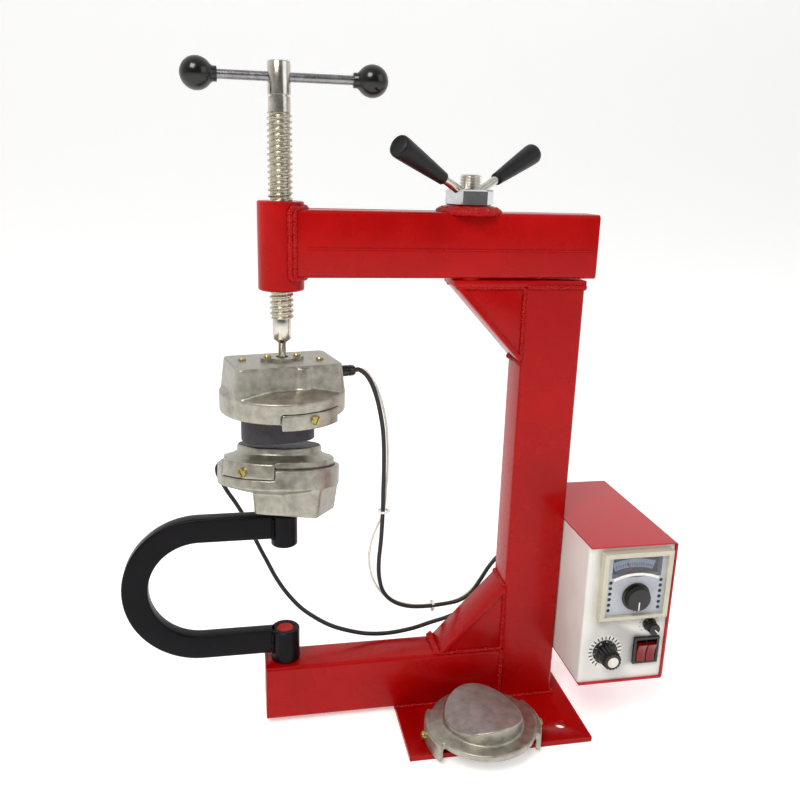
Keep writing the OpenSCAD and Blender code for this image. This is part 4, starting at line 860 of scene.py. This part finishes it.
SKIRT_R, DIE_SCREW_Z = 59, 3
for die, place, body in (("upper_die", head_frame(True), "upper_head"),
                         ("lower_die", head_frame(False), "lower_head"),
                         ("spare_die", spare_frame, "spare")):
    spots = []
    for turn in (LUG_MID, LUG_MID + math.pi):
        outward = Vector((math.cos(turn), math.sin(turn), 0))
        spots.append((place @ ((outward * SKIRT_R + Vector((0, 0, DIE_SCREW_Z))) * MM) / MM,
                      place.to_3x3() @ outward))
    fit(scattered(die + "_screw_heads", slotted_head(4.5, 4, 1.2), spots, yellow_zinc), body,
        (die + "_screws",))
top_up = head_frame(True)
cover_spots = [(top_up @ (Vector((x, y, z)) * MM) / MM, (0, 0, 1))
               for x, y, z in ((-14, 0, 49.5), (14, 0, 49.5), (-36, 8, 46.5), (34, -8, 46.5))]
fit(scattered("upper_cover_screw_heads", slotted_head(3.5, 2.4, 0.9), cover_spots, yellow_zinc), "upper_head",
    ("upper_cover_screws",))

# Glands. Nuts of black phenolic, screwed into the castings, clamp the leads where they enter. Each sits on
# a white nylon washer.
# Moulded nylon: milky white with a soft sheen
nylon = speckle("white_nylon", "#E6E4DC", "#F4F2EC", 4, (0.35, 0.5), 0.8, 0.01, IOR=1.53)
gland = [(0, -12), (3.5, -12), (3.5, 0.2), (5.5, 0.2), (5.5, 10.6), (4.9, 11.2), (4.9, 11.8), (5.5, 12.4),
         (5.2, 16.6), (4.2, GLAND_L), (0, GLAND_L)]
washer = [(5.4, 1.2), (6.6, 1.2), (6.6, 3), (5.4, 3), (5.4, 1.2)]
for name, upper, reach, turn, body in (("upper_gland", True, UPPER_GLAND, 0, "upper_head"),
                                       ("lower_gland", False, LOWER_GLAND, math.pi / 2, "lower_head")):
    place = head_frame(upper) @ spun(turn).to_4x4() @ at(reach, 0, GLAND_Z) @ sideways(1)
    fit(turned(name + "_nut", phenolic, gland, place, 40, 40), body, (name,))
    fit(turned(name + "_washer", nylon, washer, place, 40, 40), body)

# Swing arm. A flat bar bent cold to a C and welded to two turned bosses, painted satin black. It turns on a
# red pin that is welded into the lower arm, and its upper boss carries the lower head's stud.
# Satin black paint: nearly black, faintly blue, slightly rippled by the brush
satin_black = wavy(speckle("satin_black_paint", "#07060A", "#0D0B10", 30, (0.28, 0.42), 1.4, 0.03, IOR=1.5,
                           Specular_IOR_Level=0.12), 14, 0.2)
LIMB_H, LIMB_D, LIMB_L, LIMB_GAP, LOW_Z, BAR_EASE = 25, 15, 82, 127, 88.9, 2.2
mid_z = LOW_Z + LIMB_GAP / 2
line = [(-11, LOW_Z, -math.pi / 2)]
line += [(-LIMB_L + LIMB_GAP / 2 * math.cos(a), mid_z + LIMB_GAP / 2 * math.sin(a), a)
         for a in (-math.pi / 2 - math.pi * k / 48 for k in range(49))]
line.append((-10, LOW_Z + LIMB_GAP, math.pi / 2))
section = []
for sx, sy, first in ((1, 1, 0), (-1, 1, 90), (-1, -1, 180), (1, -1, 270)):
    for k in range(4):
        a = math.radians(first + 30 * k)
        section.append((sx * (LIMB_H / 2 - BAR_EASE) + BAR_EASE * math.cos(a),
                        sy * (LIMB_D / 2 - BAR_EASE) + BAR_EASE * math.sin(a)))
bent = bmesh.new()
bends = []
for x, z, a in line:
    out = Vector((math.cos(a), 0, math.sin(a)))
    bends.append([bent.verts.new((Vector((PRESS_X + x, v, z)) + out * u) * MM) for u, v in section])
skin(bent, bends)
fit(solid("swing_bar_bend", bent, satin_black, 40), "swing_arm", ("swing_bar",))
bosses = bmesh.new()
for low, high, radius, bore in ((66.4, 101.4, 14.5, 9.06), (195.4, 228.4, 13, 8.06)):
    lathe(bosses, [(bore, low), (radius - 1, low), (radius, low + 1), (radius, high - 1), (radius - 1, high),
                   (bore, high), (bore, low)], at(PRESS_X))
fit(solid("swing_arm_bosses", bosses, satin_black, 40), "swing_arm", ("upper_boss", "lower_boss"))
pin = [(0, 9), (9, 9), (9, 100.4), (8, 101.3), (0, 101.4)]
fit(turned("swing_pin_turning", red_enamel, pin, at(PRESS_X), sharp=40), "frame", ("swing_pin",))
refinish(nickel, "head_stud")
boss_seams = []
for z, radius in ((LOW_Z, 14.6), (LOW_Z + LIMB_GAP, 13.1)):
    x = PRESS_X - math.sqrt(radius ** 2 - (LIMB_D / 2) ** 2) - 0.5
    for y in (-8, 8):
        boss_seams.append([(x, y, z - 11.5), (x, y, z + 8.5)])
fit(dressed(seams("swing_arm_welds", boss_seams), weld, half_width=2.0 * MM, seed=5, paint=satin_black),
    "swing_arm")

# Control box. A cream-enamelled chassis of folded sheet holds the panel and is bolted to the column; a red
# sheet cover closes its top, right side and bottom and stands a little past the panel.
# Cream enamel: smooth and half glossy, a little grey
cream_enamel = speckle("cream_sheet_enamel", "#D7D5D0", "#E2E1DD", 40, (0.28, 0.4), 1.2, 0.012, IOR=1.5,
                       Coat_Weight=0.2, Coat_Roughness=0.1)
# Red enamel on the cover: brighter and finer than the frame's enamel
cover_red = speckle("red_cover_enamel", "#AE0C1C", "#BC1424", 35, (0.26, 0.38), 1.0, 0.015, IOR=1.5,
                    Specular_IOR_Level=0.3, Coat_Weight=0.1, Coat_Roughness=0.1)
BOX_X, BOX_RIGHT, BOX_Z, BOX_TOP, SHEET = 79, 170, 61, 213, 1.5
PANEL_Y, BACK_Y = -84.5, 80.5
CTRL_X, CTRL_Z, SWITCH_X, SWITCH_Z = 128, 171, 149, 95


def eased(points, radius, steps=5):
    """A polyline whose inner corners are rounded."""
    spots = [Vector(p) for p in points]
    result = [spots[0]]
    for a, b, c in zip(spots, spots[1:], spots[2:]):
        into, out = (a - b).normalized(), (c - b).normalized()
        for k in range(steps + 1):
            t = k / steps
            result.append((b + into * radius) * (1 - t) ** 2 + b * 2 * t * (1 - t)
                          + (b + out * radius) * t ** 2)
    return [*result, spots[-1]]


def folded(bm, outline, sheet, low, high, lift):
    """Sheet folded along an outline and drawn between two ends; lift puts flat points into space."""
    rings = []
    for i, spot in enumerate(outline):
        along = (outline[min(i + 1, len(outline) - 1)] - outline[max(i - 1, 0)]).normalized()
        out = Vector((along.y, -along.x)) * sheet / 2
        rings.append([bm.verts.new(Vector(lift(spot + side * out, end)) * MM)
                      for side, end in ((1, low), (1, high), (-1, high), (-1, low))])
    skin(bm, rings)


def around(x, z, half_x, half_z, front, back):
    """The two corners of an upright box about a point of the panel."""
    return (x - half_x, front, z - half_z), (x + half_x, back, z + half_z)


half = SHEET / 2
case = bmesh.new()
folds = [(BOX_RIGHT - 2, PANEL_Y + half), (BOX_X + half, PANEL_Y + half),
         (BOX_X + half, BACK_Y - half), (BOX_RIGHT - 2, BACK_Y - half)]
folded(case, eased(folds, 2.2), SHEET, BOX_Z + SHEET, BOX_TOP - SHEET, lambda p, z: (p.x, p.y, z))
for z in (BOX_Z + SHEET, BOX_TOP - 2 * SHEET):
    block(case, (BOX_X + 1, PANEL_Y + 1, z), (BOX_X + 13.5, BACK_Y - 1, z + SHEET), 0)
case_piece = solid("box_chassis_sheet", case, cream_enamel, 40)
cuts = bmesh.new()
block(cuts, *around(CTRL_X, CTRL_Z, 31.5, 31.5, -88, -81), 0)
block(cuts, *around(SWITCH_X, SWITCH_Z, 11, 12, -88, -81), 0)
cut_away(case_piece, solid("panel_cutter", cuts, cream_enamel))
fit(case_piece, "frame", ("box_chassis",))
lid = bmesh.new()
folds = [(BOX_X, BOX_TOP - half), (BOX_RIGHT - half, BOX_TOP - half),
         (BOX_RIGHT - half, BOX_Z + half), (BOX_X, BOX_Z + half)]
folded(lid, eased(folds, 2.0), SHEET, PANEL_Y - 3, BACK_Y, lambda p, y: (p.x, y, p.y))
fit(solid("box_cover_sheet", lid, cover_red, 40), "frame", ("box_cover",))
lid_spots = [((87, y, z), (0, 0, s)) for y in (15, 62) for z, s in ((BOX_TOP, 1), (BOX_Z, -1))]
lid_heads = scattered("cover_screw_heads", slotted_head(4, 2, 1.0), lid_spots, nickel)
fit(lid_heads, "frame", ("cover_screws",))
refinish(nickel, "box_bolts")

# Grommets and mains gland. Soft black rubber rings, pressed into the chassis's side, guard the leads, and a
# grooved gland of black phenolic in the back is ready for the mains lead.
grommets = bmesh.new()
for y, z, width in ((50, 150, LEAD_D), (50, 118, LEAD_D), (64, 150, SENSOR_D)):
    r = width / 2
    lathe(grommets, [(r, -2), (r + 4, -2), (r + 5, -1.4), (r + 5, -0.4), (r + 2.5, 0), (r + 2.5, 1.5),
                     (r + 5, 1.9), (r + 5, 2.9), (r + 4, 3.5), (r, 3.5), (r, -2)],
          at(BOX_X, y, z) @ sideways(1), 36)
fit(solid("lead_grommet_rings", grommets, lead_rubber, 40), "frame", ("lead_grommets",))
mains = [(3.5, -8), (5, -8), (5, 0), (7, 0), (7, 5), (6.4, 5.6), (7, 6.2), (6.6, 12), (5.4, 14), (3.5, 14),
         (3.5, -8)]
backward = at(124, BACK_Y, 96) @ Matrix.Rotation(-math.pi / 2, 4, "X")
fit(turned("mains_gland_nut", phenolic, mains, backward, 40, 40), "frame", ("mains_gland",))

# Temperature controller. A moulded case clipped into the panel, with a yellowed clear cover, a grey face
# with rows of dots, a knob in the middle, and a window over a pale blue scale with a red needle.
# Yellowed styrene: cream, a little translucent
cover_styrene = speckle("yellowed_clear_styrene", "#D0CBB2", "#DFDBC8", 20, (0.12, 0.25), 3.0, 0.01, IOR=1.59,
                        Transmission_Weight=0.25)
# Printed grey face: fine matt lacquer
grey_face = speckle("grey_printed_face", "#A7A9B2", "#B7BAC4", 12, (0.4, 0.55), 0.9, 0.01, IOR=1.5)
# Screen-printed ink and card: matt, with an even colour
black_ink = speckle("black_printing_ink", "#101012", "#1B1B1E", 4, (0.4, 0.55), 0.8, 0.01, IOR=1.5)
white_ink = speckle("white_printing_ink", "#E2E1DC", "#F2F1EC", 4, (0.4, 0.55), 0.8, 0.01, IOR=1.5)
scale_blue = speckle("pale_blue_scale_card", "#B4C0DA", "#CBD4E6", 8, (0.4, 0.6), 0.8, 0.01, IOR=1.5)
# Shaded well behind the window: near black and matt
dark_well = speckle("dark_window_well", "#15161B", "#22242C", 10, (0.5, 0.6), 1.0, 0.01, IOR=1.5)
FACE_Y, CARD_Y, CARD_MID_Z = -89.4, -81.6, 126


def framed(bm, low, high, rims, ease):
    """An upright rectangular frame of one piece: outer corners, and left, right, lower and upper rims."""
    left, right_rim, lower, upper = rims
    outer = [(low[0], low[2]), (high[0], low[2]), (high[0], high[2]), (low[0], high[2])]
    inner = [(low[0] + left, low[2] + lower), (high[0] - right_rim, low[2] + lower),
             (high[0] - right_rim, high[2] - upper), (low[0] + left, high[2] - upper)]
    front, back = low[1], high[1]
    corners = [[bm.verts.new(Vector((x, y, z)) * MM)
                for (x, z), y in ((o, front), (i, front), (i, back), (o, back))]
               for o, i in zip(outer, inner)]
    made = []
    for k in range(4):
        near, far = corners[k], corners[(k + 1) % 4]
        made += [bm.faces.new((near[j], near[(j + 1) % 4], far[(j + 1) % 4], far[j])) for j in range(4)]
    edges = {e for f in made for e in f.edges if e.calc_face_angle(0) > 0.5}
    bmesh.ops.bevel(bm, geom=list(edges), offset=ease * MM, segments=3, profile=0.5, affect="EDGES")


surround = bmesh.new()
framed(surround, *around(CTRL_X, CTRL_Z, 36, 36, -92.5, -84.3), (5, 5, 3.5, 5), 1.0)
block(surround, *around(CTRL_X, CTRL_Z, 33, 33, -77.5, -4.5), 1.0, 2)
fit(solid("controller_cover", surround, cover_styrene, 40), "frame", ("controller_case",))
dial = bmesh.new()
framed(dial, (96, FACE_Y, 137.5), (160, -80.8, 203), (6, 6, 42.5, 2.5), 0.3)
fit(solid("controller_face", dial, grey_face, 40), "frame")
well = bmesh.new()
block(well, (97, -80.6, 176), (159, -78, 202.5), 0)
fit(solid("window_well", well, dark_well), "frame")


def arc_band(bm, inner, outer, sweep, front, back, steps=24):
    """A flat curved band in the plane of the panel, about a point under the window."""
    bands = []
    for k in range(steps + 1):
        a = math.radians(90 + sweep * (1 - 2 * k / steps))
        bands.append([bm.verts.new(Vector((CTRL_X + r * math.cos(a), y, CARD_MID_Z + r * math.sin(a))) * MM)
                      for r, y in ((inner, front), (outer, front), (outer, back), (inner, back))])
    skin(bm, bands)


card = bmesh.new()
arc_band(card, 61, 70, 19, CARD_Y, -80.4)
fit(solid("scale_card", card, scale_blue, 40), "frame", ("scale_plate",))
smile = bmesh.new()
arc_band(smile, 55.4, 58.2, 24.5, -90.0, -89.0)
fit(solid("window_lower_trim", smile, white_ink, 40), "frame")


def tick(length, radius):
    """A short raised stroke, half sunk, its length along Z. Millimetres."""
    half = length / 2
    stroke = [(0, -half), (radius, -half), (radius, half), (0, half)]
    return turned("tick", black_ink, stroke, Matrix(), 8, 30)


def about(x, y, z, radius, first, last, count):
    """Spots on an arc in the panel's plane, facing outwards. Degrees from the right, upwards."""
    spots = []
    for k in range(count):
        a = math.radians(first + (last - first) * k / (count - 1))
        out = Vector((math.cos(a), 0, math.sin(a)))
        spots.append((Vector((x, y, z)) + radius * out, out))
    return spots


scale_spots = about(CTRL_X, CARD_Y, CARD_MID_Z, 64.2, 107, 73, 21)
fit(scattered("scale_ticks", tick(3.2, 0.3), scale_spots, black_ink), "frame")
dot = bmesh.new()
bmesh.ops.create_icosphere(dot, subdivisions=2, radius=1.9 * MM, matrix=Matrix.Diagonal((1, 1, 0.25, 1)))
dot_spots = [((x, FACE_Y, z), (0, -1, 0)) for x in (101.5, 154.5) for z in (145, 151, 157, 163, 169, 175)]
fit(scattered("face_dots", solid("dot", dot, black_ink), dot_spots, black_ink), "frame")


def toward(x, z, y):
    """A place on the panel whose Z looks out to the operator."""
    return at(x, y, z) @ Matrix.Rotation(math.pi / 2, 4, "X")


TEMP_X, TEMP_Z = 129, 159
temp_place = toward(TEMP_X, TEMP_Z, -89.9)
dial_knob = bmesh.new()
lathe(dial_knob, [(0, -7), (3, -7), (3, 0), (14.5, 0), (14.5, 1.6), (13.6, 2.2), (12.6, 2.4)], temp_place)
lathe(dial_knob, [(12.6, 2), (12.4, 8), (11.8, 8.8), (10.6, 9), (0, 9)], temp_place, 96, 24, 0.7)
fit(solid("temp_knob_moulding", dial_knob, phenolic, 40), "temp_knob", ("temp_knob",))
pointer = bmesh.new()
block(pointer, (TEMP_X - 0.6, -99.2, TEMP_Z - 11), (TEMP_X + 0.6, -98.6, TEMP_Z - 2), 0.15, 1)
fit(solid("temp_knob_pointer", pointer, white_ink), "temp_knob")

# Small knob, timer and switch. A short pointer knob trims the sensor, a long fluted knob with a bright cap
# winds the timer over a printed ring, and twin red rockers in a black bezel switch the two heads. All are
# mouldings.
TRIM_X, TRIM_Z, TIMER_X, TIMER_Z = 150, 124, 105, 96
KNOB_Y = PANEL_Y - 0.4
trim_place, timer_place = toward(TRIM_X, TRIM_Z, KNOB_Y), toward(TIMER_X, TIMER_Z, KNOB_Y)
trim = bmesh.new()
lathe(trim, [(0, -8), (3, -8), (3, 0), (7, 0), (7, 2.4), (6.4, 3)], trim_place, 72)
lathe(trim, [(6.2, 2.6), (6, 12), (5.4, 12.8), (0, 13)], trim_place, 72, 18, 0.5)
fit(solid("trim_knob_moulding", trim, phenolic, 40), "trim_knob", ("trim_knob",))
trim_mark = bmesh.new()
block(trim_mark, (-0.5, -6.2, 12.6), (0.5, 0, 13.2), 0.1, 1)
trim_mark.transform(trim_place @ Matrix.Rotation(math.radians(45), 4, "Z"))
fit(solid("trim_knob_pointer", trim_mark, white_ink), "trim_knob")
trim_marks = about(TRIM_X, PANEL_Y, TRIM_Z, 10, 225, -45, 11)
fit(scattered("trim_marks", tick(1.2, 0.35), trim_marks, black_ink), "frame")

timer_knob = bmesh.new()
lathe(timer_knob, [(0, -10), (3, -10), (3, 0), (13, 0), (13, 1.8), (12, 3.4), (10.6, 4)], timer_place, 96)
lathe(timer_knob, [(10.8, 3), (10.2, 10), (9.2, 18.4), (8.6, 19.4), (7, 19.6), (0, 19.6)],
      timer_place, 96, 16, 1.1)
fit(solid("timer_knob_moulding", timer_knob, phenolic, 40), "timer_knob", ("timer_knob",))
bright = [(0, 19), (5.6, 19), (5.6, 19.9), (5.2, 20), (4.8, 19.85), (0, 19.85)]
fit(turned("timer_knob_cap", nickel, bright, timer_place, sharp=40), "timer_knob")
skirt_marks = about(TIMER_X, KNOB_Y - 2.6, TIMER_Z, 11.9, 0, 330, 12)
fit(scattered("timer_knob_ticks", tick(2.2, 0.35), skirt_marks, white_ink), "timer_knob")
INK = 0.3
printed = [(12, -INK), (18, -INK), (18, INK), (12, INK), (12, -INK)]
fit(turned("timer_printed_ring", white_ink, printed, toward(TIMER_X, TIMER_Z, PANEL_Y), 72, 40), "frame")
ring_marks = about(TIMER_X, PANEL_Y - INK, TIMER_Z, 15.8, 240, -60, 21)
fit(scattered("timer_marks", tick(3.4, 0.6), ring_marks, black_ink), "frame")

bezel = bmesh.new()
framed(bezel, *around(SWITCH_X, SWITCH_Z, 13.5, 14.5, -87.5, -84.3), (2.7, 2.7, 2.5, 2.5), 0.5)
block(bezel, *around(SWITCH_X, SWITCH_Z, 0.4, 13, -86.6, -80), 0.2, 2)
block(bezel, *around(SWITCH_X, SWITCH_Z, 12, 13, -79, -60), 0.3, 1)
fit(solid("switch_bezel", bezel, phenolic, 40), "frame", ("switch_case",))
# Clear red polycarbonate over a lamp: deep, glowing a little at its edges
rocker_red = speckle("clear_red_polycarbonate", "#6E0306", "#8E070B", 8, (0.12, 0.2), 2.0, 0.01, IOR=1.585,
                     Specular_IOR_Level=0.25, Transmission_Weight=0.15, Coat_Weight=0.1)
KEY_OFF, KEY_HALF, KEY_TIP = 5.2, 4.6, math.radians(9)
outline = [(-10.5 + 2 * (1 - (k / 6) ** 2), 10 * k / 6) for k in range(-6, 7)] + [(0, 7), (2, 0), (0, -7)]
for side, body in ((-1, "rocker_left"), (1, "rocker_right")):
    key = bmesh.new()
    middle = SWITCH_X + side * KEY_OFF
    skin(key, [[key.verts.new(Vector((x, y, z)) * MM) for y, z in outline]
               for x in (middle - KEY_HALF, middle + KEY_HALF)])
    bmesh.ops.recalc_face_normals(key, faces=key.faces)
    soften(key, 40, 0.5)
    key.transform(at(0, PANEL_Y + 5, SWITCH_Z) @ Matrix.Rotation(KEY_TIP, 4, "X"))
    fit(solid(body + "_key", key, rocker_red, 40), body, (body,))

# Hidden and plain pieces. Mica heater discs, a clear pane, a red needle and moulded bodies behind the panel
# are pressed or screwed in place. They keep their solids and get the finish of the real ones.
# Clear styrene: hardly tinted, with a polished skin
pane = material("clear_styrene_pane", Base_Color=srgb("#EAF0F6"), Roughness=0.05, IOR=1.49,
                Transmission_Weight=1.0)
# Pressed mica, brown and flaky, and plain grey mouldings
mica = speckle("mica_heater_disc", "#9C8254", "#B89A66", 5, (0.3, 0.5), 1.5, 0.03, IOR=1.58)
grey_moulding = speckle("grey_moulded_plastic", "#6E737A", "#7C8188", 10, (0.4, 0.55), 1.0, 0.02, IOR=1.5)
refinish(pane, "controller_window")
refinish(mica, "upper_heater", "lower_heater")
refinish(rocker_red, "needle")
refinish(grey_moulding, "timer", "trim_pot", "terminal_block")

# Cable ties. Two ties of white nylon, each moulded in one with its lock, hold the sensor lead against the
# upper lead, one on the drop and one on the level run.
for name, body, place in (("upper_tie", "arm", at(-103, 35, 209)),
                          ("lower_tie", "frame", at(-45, 35.5, 93.5) @ sideways(1))):
    band = bmesh.new()
    lathe(band, [(5.0, -1.2), (5.5, -1.2), (5.5, 1.2), (5.0, 1.2), (5.0, -1.2)], steps=40)
    block(band, (4.8, -1.6, -1.6), (7.4, 1.6, 1.6), 0.5, 2)
    band.transform(place)
    fit(solid(name, band, nylon, 40), body)
